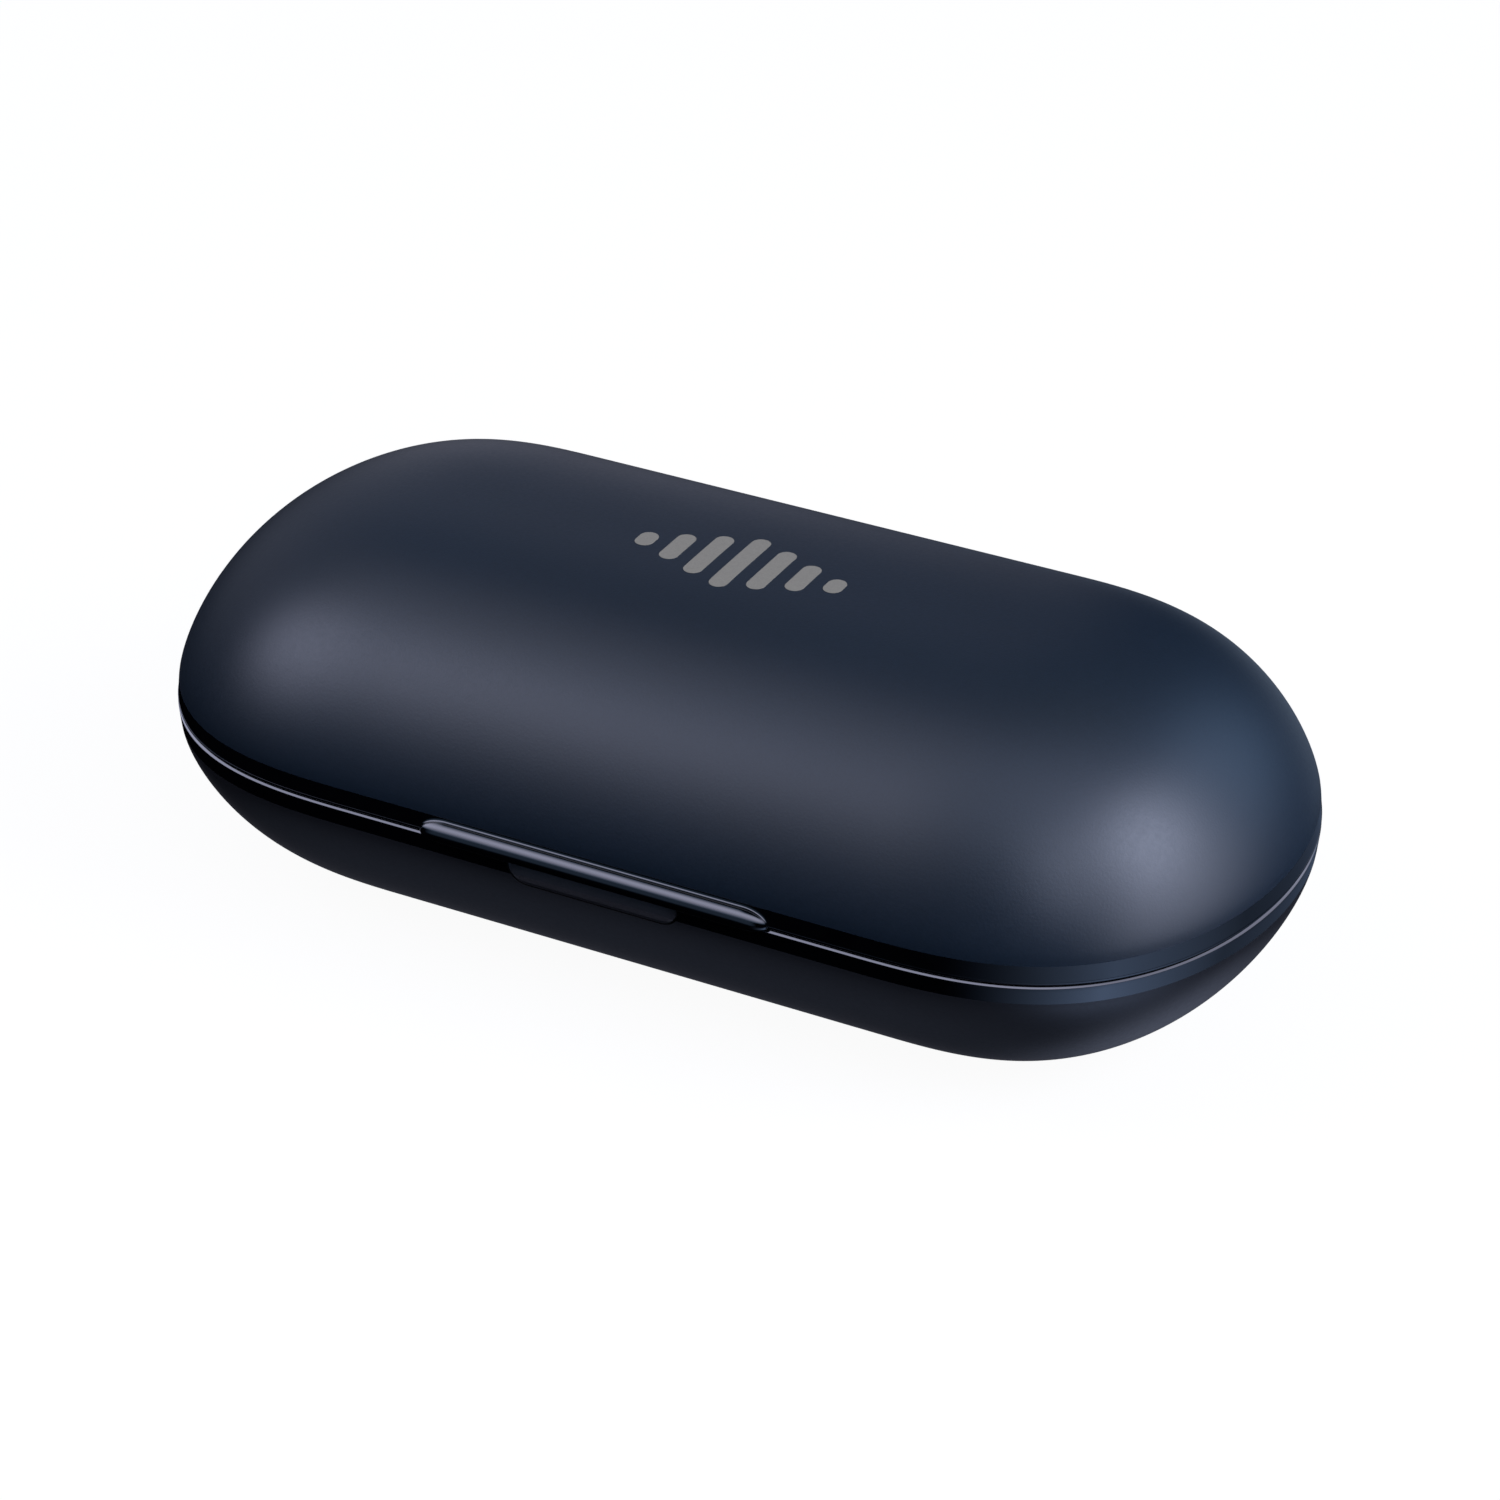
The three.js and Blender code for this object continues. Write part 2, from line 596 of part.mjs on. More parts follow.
// Flat ribbon from the main board down to a contact board: a bent strip pushed along Y.
function ribbon(side) {
  const curve = new THREE.CubicBezierCurve(
    new THREE.Vector2(10.2, BOARD.z - 0.2),
    new THREE.Vector2(15.5, BOARD.z - 0.2),
    new THREE.Vector2(12.5, 2.6),
    new THREE.Vector2(18.6, 2.6),
  );
  const thickness = 0.15;
  const steps = 14;
  const upper = [];
  const lower = [];
  for (let i = 0; i <= steps; i++) {
    const p = curve.getPoint(i / steps);
    const tangent = curve.getTangent(i / steps);
    const normal = new THREE.Vector2(-tangent.y, tangent.x).multiplyScalar(thickness / 2);
    upper.push(p.clone().add(normal));
    lower.push(p.clone().sub(normal));
  }
  const strip = new THREE.Shape([...lower, ...upper.reverse()]);
  const geometry = new THREE.ExtrudeGeometry(strip, { depth: 2.4, bevelEnabled: false });
  geometry.rotateX(Math.PI / 2).translate(0, 8.9, 0);
  return side > 0 ? geometry : geometry.rotateZ(Math.PI).translate(0, 2 * 8.9 - 2.4, 0);
}

function lead(x) {
  const curve = new THREE.CatmullRomCurve3([
    new THREE.Vector3(x - 1.4, 3.75, 8.6),
    new THREE.Vector3(x - 1.1, 4.6, 8.9),
    new THREE.Vector3(x - 0.2, 5.4, 9.0),
    new THREE.Vector3(x, 6.3, 8.6),
  ]);
  const core = new THREE.Shape();
  core.absarc(0, 0, 0.3, 0, 2 * Math.PI);
  return new THREE.ExtrudeGeometry(core, { steps: 12, extrudePath: curve, curveSegments: 4 });
}

function electronics() {
  const group = new THREE.Group();
  const add = (name, shape, material, x = 0, y = 0, z = 0) => {
    const made = piece(name, shape, material);
    made.position.set(x, y, z);
    group.add(made);
  };
  const boardTop = BOARD.z + BOARD.thickness;
  add("main_board", mainBoard(), boardGreen);
  add("usb_socket_shell", usbShell(), steel);
  add("usb_socket_tongue", usbTongue(), mattBlack);
  add("light_pipe", lightPipe(), frosted);
  LIGHT_X.forEach((x, i) =>
    add(`charge_led_${i + 1}`, plate(1.6, 0.8, 0.6, 0.1), whitePlastic, x, LIGHT_Y, boardTop),
  );
  add("charge_controller", plate(3, 3, 0.75, 0.1), chipBlack, -6, 10.6, boardTop);
  add("microcontroller", plate(2.6, 2.6, 0.6, 0.1), chipBlack, 6.6, 10.9, boardTop);
  add("power_inductor", plate(2.5, 2, 1.1, 0.3, 0.1), chipBlack, -5.9, 14, boardTop);
  add("lid_sensor", plate(1.4, 1.4, 0.5, 0.1), chipBlack, 7.6, 14.3, boardTop);
  add("battery_connector", plate(4, 2.2, 1.5, 0.2), whitePlastic, 5.8, 7.5, boardTop);
  add("battery_lead_red", lead(5), redWire);
  add("battery_lead_black", lead(6.6), blackWire);
  add("battery_cell", plate(14, 15, 7.2, 1.5, 0.5), foil, 0, -3.9, 2.75);
  add("battery_pad", plate(11, 11, 0.8, 0.5), foam, 0, -3.4, 1.85);
  for (const side of [-1, 1]) {
    const label = side < 0 ? "left" : "right";
    add(`contact_board_${label}`, plate(5, 12.6, 0.6, 0.4), boardGreen, side * CONTACT_X, 2.5, 1.75);
    add(`contact_ribbon_${label}`, ribbon(side), amberFilm);
    add(`earbud_magnet_${label}`, lathe([[0, 0], [2.5, 0], [2.5, 1.4], [0, 1.4]], 20), magnetNickel,
      side * 25.8, 0.5, 2);
  }
  return group;
}

function closingMagnet(name, side, z) {
  const { x, y, length, width, height } = CLOSING_MAGNET;
  const made = piece(name, plate(length, width, height, 0.2), magnetNickel);
  made.position.set(side * x, y, z);
  return made;
}

// ---- Assembly ------------------------------------------------------------------------------
const lidDeckTop = PARTING + PARTING_GAP / 2 + DECK_RECESS + DECK;
const trayDeckBottom = PARTING - PARTING_GAP / 2 - DECK_RECESS - DECK;

const lid = new THREE.Group();
lid.add(
  piece("lid_shell", lidShell(), satinNavy),
  piece("lid_rim", lidRim(), glossNavy),
  piece("lid_liner", lidLiner(), mattBlack),
  closingMagnet("lid_magnet_left", -1, lidDeckTop + 0.05),
  closingMagnet("lid_magnet_right", 1, lidDeckTop + 0.05),
);
const senseMagnet = piece("lid_sense_magnet", lathe([[0, 0], [1.5, 0], [1.5, 1], [0, 1]], 16), magnetNickel);
senseMagnet.position.set(7.6, 13.6, lidDeckTop + 0.05);
lid.add(senseMagnet);

const base = new THREE.Group();
base.add(
  piece("base_shell", baseShell(), satinNavy),
  piece("base_rim", baseRim(), glossNavy),
  piece("cradle_tray", cradleTray(), mattBlack),
  piece("hinge_pin", hingePin(), steel),
  closingMagnet("base_magnet_left", -1, trayDeckBottom - CLOSING_MAGNET.height - 0.05),
  closingMagnet("base_magnet_right", 1, trayDeckBottom - CLOSING_MAGNET.height - 0.05),
  electronics(),
  screws(),
  contacts(),
);

const earbudsCase = new THREE.Group();
earbudsCase.add(base, lid);

export default earbudsCase;
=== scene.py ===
"""Looks of the wireless earbuds case: fine meshes, materials, light and camera round the CAD frame."""
import json
import math

import bpy
import bmesh
import numpy as np
from mathutils import Matrix, Vector
from mathutils.geometry import delaunay_2d_cdt


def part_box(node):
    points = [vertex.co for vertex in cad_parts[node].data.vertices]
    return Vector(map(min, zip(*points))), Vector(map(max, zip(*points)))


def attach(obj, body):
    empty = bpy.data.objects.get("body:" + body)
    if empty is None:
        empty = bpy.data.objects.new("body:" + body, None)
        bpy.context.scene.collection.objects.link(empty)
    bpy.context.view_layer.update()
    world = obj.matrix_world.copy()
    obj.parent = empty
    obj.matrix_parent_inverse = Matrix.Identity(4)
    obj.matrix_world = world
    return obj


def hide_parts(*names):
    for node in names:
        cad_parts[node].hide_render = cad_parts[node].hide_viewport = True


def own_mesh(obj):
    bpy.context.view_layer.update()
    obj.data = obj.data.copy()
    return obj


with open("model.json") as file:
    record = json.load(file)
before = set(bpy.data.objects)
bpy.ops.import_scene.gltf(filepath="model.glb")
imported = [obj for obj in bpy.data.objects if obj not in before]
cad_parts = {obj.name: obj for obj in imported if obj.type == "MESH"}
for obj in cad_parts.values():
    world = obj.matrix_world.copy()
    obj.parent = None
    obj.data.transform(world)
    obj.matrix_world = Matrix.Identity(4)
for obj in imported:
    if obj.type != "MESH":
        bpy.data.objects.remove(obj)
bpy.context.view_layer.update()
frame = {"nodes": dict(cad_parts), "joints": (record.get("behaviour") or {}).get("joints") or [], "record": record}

MM = 0.001
SHARP = 32


def box_mm(node):
    """A CAD node's lowest and highest corner, in millimetres."""
    low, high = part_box(node)
    return np.array(low) / MM, np.array(high) / MM


# ---- Dimensions: places read from the frame, and the shape's own numbers, in millimetres ----
LID_SHELL_BOX = box_mm("lid_shell")
BASE_SHELL_BOX = box_mm("base_shell")
TRAY_BOX = box_mm("cradle_tray")
LINER_BOX = box_mm("lid_liner")
SOCKET_BOX = box_mm("usb_socket_shell")

BAND_TAPER = 0.12
HALF_LENGTH = box_mm("lid_rim")[1][0]
HALF_WIDTH = LID_SHELL_BOX[1][1] + BAND_TAPER
LID_BAND_TOP = LID_SHELL_BOX[0][2]
BASE_BAND_BOTTOM = BASE_SHELL_BOX[1][2]
PARTING = (LID_BAND_TOP + BASE_BAND_BOTTOM) / 2
LID_EDGE = PARTING + 0.05
BASE_EDGE = PARTING - 0.05
HALF_STRAIGHT = 17.9
END_POWER = 2 / 2.885

INK_THICKNESS = 0.015
INK_SUNK = 0.025
DOME_RISE = LID_SHELL_BOX[1][2] - LID_BAND_TOP - INK_THICKNESS
DOME_POWERS = (3.069, 1.3583)
BOWL_DROP = 11.05
BOWL_INSET = 14.9
BOWL_POWERS = (2.2391, 1.3866)
WALL = 1.3

RIM_INSET = 2.6
LEDGE_INSET = 3.6
SPIGOT_INSET = 2.25
LEDGE_DEPTH = 1.2
LEDGE_BEVEL = 0.2
DECK_FIT = 0.075
DECK_INSET = RIM_INSET + 0.15
DECK = 1.0
TRAY_FACE = TRAY_BOX[1][2]
LINER_FACE = LINER_BOX[0][2]

HINGE_Y = next(j for j in frame["joints"] if j["name"] == "lid_hinge")["pos_m"][1] / MM
KNUCKLE_R = 1.2
KNUCKLE_NOSE = 1.6
PIN_BORE_R = 0.44
LID_KNUCKLE = 16
HINGE_LENGTH = 29.2
KNUCKLE_GAP = 0.15
NOTCH_Y = 18.7
BEHIND = 23
STOP = {"reach": 1.6, "top": -0.16, "height": 0.9, "length": 4.6}

LIP = {"sag": 0.8, "fillet": 0.22, "half": 12.55, "end": 1.9, "low": -0.27, "high": 1.1, "tip": 0.2}
LIP["depth"] = -HALF_WIDTH - box_mm("lid_rim")[0][1] - 0.03
RECESS = {"half": 6.1, "drop": 1.88, "corner": 1.3, "depth": 0.6, "flare": 1.05, "step": 0.12}
BEVEL = 0.16
SEAM = {"width": 0.13, "depth": 0.3}
RIM_EDGE = 0.25
CAP_STEPS = 90

POST_R = 1.4
PILOT_R = 0.5
PILOT_DEPTH = 1.6
USB_CLEARANCE = 0.25
CONTACT_HOLE_R = 0.73
COLLAR = 0.95
BARREL_FLOOR = 0.15
LIGHT_X = (-2.6, 0, 2.6)

POCKET_BODY = (22.5, 0.5, 9.0)
POCKET_TIP = (14.6, -5.5, 6.2)
POCKET_ROUND = 3.6
POCKET_POWER = 0.667
MOULDING = 0.9
POCKET_FLOOR = TRAY_BOX[0][2] + MOULDING
LID_POCKET_TOP = LINER_BOX[1][2] - MOULDING

# Linear colours of the outside, which the studio light is balanced for
SATIN_COLOUR = (0.0038, 0.0092, 0.0165)
SATIN_ROUGHNESS = 0.42
GLOSS_COLOUR = (0.0008, 0.0009, 0.0014)
# The base shell's satin: the lid's navy lacquer made greyer, painted to stand in for the neutral light from below
BASE_COLOUR_WITH_PAINTED_LIGHT = (0.0075, 0.008, 0.0098)
# Painted shadow: the slot round the dish is painted near-black to draw the shade in the gap
SEAM_PAINTED_SHADOW_COLOUR = (0.0003, 0.0003, 0.0004)
# The dish's own charcoal, made lighter with painted light where the lip shades it
DISH_COLOUR_WITH_PAINTED_LIGHT = (0.03, 0.03, 0.034)
# The polished rim's faces in the dish: their own copy of the dish charcoal, with painted light in place of the
# light they lack
DISH_EDGE_PAINTED_LIGHT_COLOUR = (0.0175, 0.0175, 0.0195)
INK_COLOUR = (0.2, 0.183, 0.142)


# ---- Mesh helpers ----
def make_object(name, points, faces, material=None):
    """A mesh object from points in millimetres, smooth except across edges sharper than SHARP."""
    mesh = bpy.data.meshes.new(name)
    mesh.from_pydata([tuple(p) for p in np.round(np.asarray(points, float), 6) * MM], [], faces)
    made = bpy.data.objects.new(name, mesh)
    bpy.context.scene.collection.objects.link(made)
    if material:
        mesh.materials.append(material)
    set_normals(made)
    return made


def set_normals(piece):
    """Faces outward, shaded smooth, with the sharp edges marked."""
    bm = bmesh.new()
    bm.from_mesh(piece.data)
    bmesh.ops.recalc_face_normals(bm, faces=bm.faces)
    for face in bm.faces:
        face.smooth = True
    for edge in bm.edges:
        edge.smooth = len(edge.link_faces) == 2 and edge.calc_face_angle(0) < math.radians(SHARP)
    bm.to_mesh(piece.data)
    bm.free()


def quads(rings, count, wrap=False):
    """Quads between consecutive rings of count points; wrap joins the last ring to the first."""
    faces = []
    for r in range(rings if wrap else rings - 1):
        low = r * count
        high = ((r + 1) % rings) * count
        for i in range(count):
            j = (i + 1) % count
            faces.append((low + i, low + j, high + j, high + i))
    return faces


def boolean(piece, cutter, operation="DIFFERENCE"):
    """Applies one exact boolean to piece and removes the cutter, whose material its faces keep."""
    modifier = piece.modifiers.new("boolean", "BOOLEAN")
    modifier.operation = operation
    modifier.solver = "EXACT"
    modifier.material_mode = "TRANSFER"
    modifier.object = cutter
    depsgraph = bpy.context.evaluated_depsgraph_get()
    mesh = bpy.data.meshes.new_from_object(piece.evaluated_get(depsgraph))
    piece.modifiers.clear()
    piece.data = mesh
    bpy.data.objects.remove(cutter)
    set_normals(piece)


BOX_FACES = [(0, 2, 3, 1), (4, 5, 7, 6), (0, 1, 5, 4), (2, 6, 7, 3), (0, 4, 6, 2), (1, 3, 7, 5)]


def box_points(x, y, z):
    """A box's eight corners, in the order that BOX_FACES expects."""
    return [(x[i & 1], y[i >> 1 & 1], z[i >> 2 & 1]) for i in range(8)]


def box_body(x, y, z, material=None):
    return make_object("box", box_points(x, y, z), BOX_FACES, material)


def loft_faces(rings, start=0):
    """Faces through rings of equally many points, with the first and last ring filled in."""
    count = len(rings[0])
    last = (len(rings) - 1) * count
    faces = quads(len(rings), count) + [tuple(range(count)), tuple(range(last, last + count))]
    return [tuple(start + i for i in face) for face in faces]


def closed_loft(name, rings, material=None):
    return make_object(name, np.concatenate(rings), loft_faces(rings), material)


def turned(name, profile, sides, place, material=None):
    """A body of revolution. profile is [(radius, height)], on the axis at both ends."""
    middle = profile[1:-1]
    angles = np.linspace(0, 2 * math.pi, sides, endpoint=False)
    points = [place(0, 0, profile[0][1])]
    for radius, height in middle:
        points += [place(radius * math.cos(a), radius * math.sin(a), height) for a in angles]
    points.append(place(0, 0, profile[-1][1]))
    last = len(points) - 1
    faces = [tuple(k + 1 for k in face) for face in quads(len(middle), sides)]
    for i in range(sides):
        j = (i + 1) % sides
        faces.append((0, 1 + j, 1 + i))
        faces.append((last, last - sides + i, last - sides + j))
    return make_object(name, points, faces, material)


def along_x(x, y, z, sign=1):
    return lambda a, b, height: (x + sign * height, y + a, z + b)


def along_z(x, y, z):
    return lambda a, b, height: (x + a, y + b, z + height)


def arc(centre, radius, start, end, steps):
    """Points of an arc in a section's plane; angles in degrees."""
    angles = np.radians(np.linspace(start, end, steps + 1))
    return [(centre[0] + radius * math.cos(a), centre[1] + radius * math.sin(a)) for a in angles]


def even(points, count):
    """Resamples a polyline to count points, evenly spaced along it."""
    points = np.asarray(points, float)
    length = np.concatenate([[0], np.cumsum(np.linalg.norm(np.diff(points, axis=0), axis=1))])
    at = np.linspace(0, length[-1], count)
    return np.stack([np.interp(at, length, points[:, k]) for k in range(points.shape[1])], 1)


# ---- The plan outline ----
def cap_angles(count):
    """Angles along one quarter of an end cap, from its end to its side, evenly spaced on it."""
    t = (1 - np.linspace(0, 1, 4001) ** 2) * math.pi / 2
    x = (HALF_LENGTH - HALF_STRAIGHT) * np.maximum(np.cos(t), 0) ** END_POWER
    y = HALF_WIDTH * np.sin(t)
    length = np.concatenate([[0], np.cumsum(np.hypot(np.diff(x), np.diff(y)))])
    return np.interp(np.linspace(length[-1], 0, count), length, t)


def station_table(back_x, front_x):
    """(straight x, cap x, side y) of each station round the outline, counter-clockwise from the right."""
    t = cap_angles(CAP_STEPS)
    straight = np.full(CAP_STEPS, HALF_STRAIGHT)
    cap = np.stack([straight, np.maximum(np.cos(t), 0) ** END_POWER, np.sin(t)], 1)
    back = np.stack([back_x, np.zeros(len(back_x)), np.ones(len(back_x))], 1)
    front = np.stack([front_x, np.zeros(len(front_x)), -np.ones(len(front_x))], 1)
    return np.concatenate([
        cap,
        back,
        cap[::-1] * (-1, -1, 1),
        cap[1:] * (-1, -1, -1),
        front,
        cap[::-1][:-1] * (1, 1, -1),
    ])


BACK_X = np.linspace(HALF_STRAIGHT, -HALF_STRAIGHT, 101)[1:-1]
STATIONS = station_table(BACK_X, -BACK_X)
HALF_COUNT = 2 * CAP_STEPS + len(BACK_X)


def ring(inset, z, stations=STATIONS):
    """The outline's points, moved inwards by inset, at height z; both may vary between stations."""
    inset = np.broadcast_to(np.asarray(inset, float), len(stations))
    z = np.broadcast_to(np.asarray(z, float), len(stations))
    reach = HALF_LENGTH - HALF_STRAIGHT - inset
    half = HALF_WIDTH - inset
    return np.stack([stations[:, 0] + reach * stations[:, 1], half * stations[:, 2], z], 1)


def strip_cap(start):
    """Closes a ring by joining each point of its back half to the front point facing it."""
    count = len(STATIONS)
    back = [start + i for i in range(HALF_COUNT)]
    front = [start] + [start + count - i for i in range(1, HALF_COUNT - 1)] + [back[-1]]
    faces = []
    for i in range(HALF_COUNT - 1):
        corners = (back[i], back[i + 1], front[i + 1], front[i])
        faces.append(tuple(dict.fromkeys(corners)))
    return faces


def capped_loft(name, profile, material):
    """A body whose surface runs through rings given as (inset, z), with strips over both ends."""
    count = len(STATIONS)
    faces = quads(len(profile), count) + strip_cap(0) + strip_cap((len(profile) - 1) * count)
    points = np.concatenate([ring(inset, z) for inset, z in profile])
    return make_object(name, points, faces, material)


# ---- Satin shells ----
def dome_profile(count):
    """(inset, z) of the lid's outside, from its band to the crown."""
    t = np.linspace(0, math.pi / 2, 8001)
    width = (HALF_WIDTH - BAND_TAPER) * np.maximum(np.cos(t), 0) ** (2 / DOME_POWERS[0])
    z = LID_BAND_TOP + DOME_RISE * np.sin(t) ** (2 / DOME_POWERS[1])
    return even(np.stack([HALF_WIDTH - np.maximum(width, 0.02), z], 1), count)


def bowl_profile(count):
    """(inset, z) of the base's outside, from its band down to the flat it stands on."""
    end = math.asin((BASE_BAND_BOTTOM / BOWL_DROP) ** (BOWL_POWERS[1] / 2))
    t = np.linspace(0, end, 8001)
    inset = BAND_TAPER + BOWL_INSET * (1 - np.cos(t) ** (2 / BOWL_POWERS[0]))
    z = BASE_BAND_BOTTOM - BOWL_DROP * np.sin(t) ** (2 / BOWL_POWERS[1])
    return even(np.stack([inset, z], 1), count)


def offset_inwards(profile, depth, up):
    """A profile moved square to itself by depth; up is +1 if the inside lies above it, else -1."""
    step = np.gradient(profile, axis=0)
    step /= np.linalg.norm(step, axis=1)[:, None]
    moved = profile.copy()
    moved[:, 0] += depth * np.abs(step[:, 1])
    moved[:, 1] += up * depth * np.abs(step[:, 0])
    return moved


def lid_skin(material):
    """The dome, hollowed by one wall."""
    outer = dome_profile(72)
    inner = offset_inwards(outer, WALL, -1)
    inner[0][1] = LID_BAND_TOP
    inner = inner[inner[:, 0] < HALF_WIDTH - 0.3]
    return capped_loft("lid_satin_shell", np.concatenate([inner[::-1], outer]), material)


def recess_cutter(material):
    """The dish under the lip: its back leans out towards the bottom, and its ends are round."""
    rings = []
    top = PARTING + 3
    low = PARTING - RECESS["drop"]
    step, depth, radius = RECESS["step"], RECESS["depth"], RECESS["corner"]
    for share in np.linspace(0, math.pi / 2, 13):
        deep = depth * math.sin(share)
        half = RECESS["half"] - RECESS["flare"] * (1 - math.cos(share))
        foot = low + RECESS["drop"] * max(deep - step, 0) / (depth - step)
        corner = max(radius - 0.3 * deep, 0.2)
        outline = [(half, top), (-half, top)]
        outline += arc((-half + corner, foot + corner), corner, 180, 270, 14)
        outline += arc((half - corner, foot + corner), corner, 270, 360, 14)
        rings.append([(x, -HALF_WIDTH + deep, z) for x, z in outline])
    rings.insert(0, [(x, y - 2, z) for x, y, z in rings[0]])
    return closed_loft("cutter", rings, material)


def recess_seam(material):
    """A narrow slot round the lower edge of the dish."""
    low = PARTING - RECESS["drop"]
    outline = []
    for grow in (SEAM["width"], 0):
        half, foot, corner = RECESS["half"] + grow, low - grow, RECESS["corner"] + grow
        side = [(-half, PARTING + 1)] + arc((-half + corner, foot + corner), corner, 180, 270, 14)
        side += arc((half - corner, foot + corner), corner, 270, 360, 14) + [(half, PARTING + 1)]
        outline += side if grow else side[::-1]
    depths = (-HALF_WIDTH - 1, -HALF_WIDTH + BAND_TAPER + SEAM["depth"])
    return closed_loft("cutter", [[(x, y, z) for x, z in outline] for y in depths], material)


def stadium(width, height, count=64):
    """A flat-sided round-ended outline centred on the origin."""
    radius = height / 2
    half = width / 2 - radius
    steps = count // 2
    return arc((half, 0), radius, -90, 90, steps) + arc((-half, 0), radius, 90, 270, steps)


def socket_hole(material):
    """A stadium-shaped plug along Y, a clearance larger than the USB socket."""
    low, high = SOCKET_BOX
    width, _, height = high - low + 2 * USB_CLEARANCE
    outline = stadium(width, height)
    z = (low[2] + high[2]) / 2
    return closed_loft("cutter", [[(a, y, z + b) for a, b in outline] for y in (12, 22)], material)


def board_posts():
    """(x, y) of the posts under the main board's screws."""
    boxes = [box_mm(f"board_screw_{i}") for i in range(1, 5)]
    return [(low + high)[:2] / 2 for low, high in boxes]


def base_skin(material, recess_material, seam_material):
    """The bowl, cut for the dish, its seam and the USB socket, with posts under the main board."""
    outer = bowl_profile(64)
    inner = offset_inwards(outer, WALL, 1)
    inner[0][1] = BASE_BAND_BOTTOM
    inner = inner[inner[:, 1] > WALL]
    inner = np.concatenate([inner, [(inner[-1][0] + 0.3, WALL)]])
    piece = capped_loft("base_satin_shell", np.concatenate([inner[::-1], outer]), material)
    boolean(piece, recess_cutter(recess_material))
    boolean(piece, recess_seam(seam_material))
    boolean(piece, socket_hole(material))
    board = box_mm("main_board")[0][2]
    for x, y in board_posts():
        profile = [(0, 0.3), (POST_R, 0.3), (POST_R, board - 0.15), (POST_R - 0.15, board)]
        profile += [(PILOT_R, board), (PILOT_R, board - PILOT_DEPTH), (0, board - PILOT_DEPTH)]
        post = turned("post", profile, 40, along_z(x, y, 0), material)
        boolean(post, capped_loft("bowl", offset_inwards(outer, WALL / 2, 1), material), "INTERSECT")
        boolean(piece, post, "UNION")
    return piece


# ---- Polished rims ----
def ring_body(name, outs, heights, stations, material):
    """A closed ring round the case; outs and heights are arrays of section point by station."""
    points = np.concatenate([ring(-outs[i], heights[i], stations) for i in range(len(outs))])
    return make_object(name, points, quads(len(outs), len(stations), wrap=True), material)


def repeat(section, stations):
    """One section's points, repeated at every station, as (outs, heights)."""
    section = np.asarray(section, float)
    ones = np.ones(len(stations))
    return section[:, :1] * ones, section[:, 1:] * ones


def smooth_max(a, b, blend):
    """The larger of a and b, with a fillet of about blend where they cross."""
    return (a + b + np.sqrt((a - b) ** 2 + blend**2)) / 2


def lip_face(stations):
    """The lid band's outside with the lip on it: (outs, heights), from its lower edge to its top."""
    edge_radius, step = 0.1, 0.12
    on_front = (stations[:, 2] < -0.999) & (stations[:, 1] == 0)
    x = np.where(on_front, np.abs(stations[:, 0]), 99)
    t = np.clip((x - LIP["half"] + LIP["end"]) / LIP["end"], 0, 1)
    root = np.sqrt(1 - t**2)
    tip = PARTING + LIP["tip"]
    high = tip + (LIP["high"] - LIP["tip"]) * root
    low = tip + (LIP["low"] - LIP["tip"]) * np.sqrt(1 - t**3)
    depth = LIP["depth"] * np.sqrt(1 - t**2.4)
    blend = LIP["fillet"] * np.sqrt(root)
    middle = (high + low) / 2
    half = np.maximum((high - low) / 2, 0.05)
    hangs = np.clip((LID_EDGE - low) / 0.2, 0, 1)

    def band_out(z):
        return -BAND_TAPER * np.clip((z - LID_EDGE) / (LID_BAND_TOP - LID_EDGE), 0, 1)

    outs, heights = [], []
    plain = arc((-edge_radius, LID_EDGE + edge_radius), edge_radius, -90, 0, 5)
    hanging = [(-edge_radius, 0), (0.0, 0), (step - 0.02, 0), (step, -0.02), (step, -0.3), (step, -0.96)]
    for (plain_out, plain_z), (lip_out, drop) in zip(plain, hanging):
        outs.append(hangs * lip_out + (1 - hangs) * plain_out)
        heights.append(hangs * (LID_EDGE + drop * np.maximum(LID_EDGE - low, 0)) + (1 - hangs) * plain_z)
    for angle in np.linspace(0.16, math.pi, 34):
        z = middle - half * math.cos(angle)
        wall = np.where(z < LID_EDGE, step * hangs, band_out(z))
        bulge = math.sin(math.pi * (angle / math.pi) ** LIP["sag"])
        easing = np.interp(z, (LID_EDGE - 0.3, LID_EDGE + 0.5), (0.3, 1))
        outs.append(smooth_max(depth * bulge, wall, easing * blend))
        heights.append(z)
    for part in np.linspace(0, 1, 14)[1:] ** 2:
        z = middle + half + (LID_BAND_TOP - middle - half) * part
        rise = z - middle - half
        outs.append(smooth_max(-4 * rise, band_out(z), blend))
        heights.append(z)
    return np.array(outs), np.array(heights)


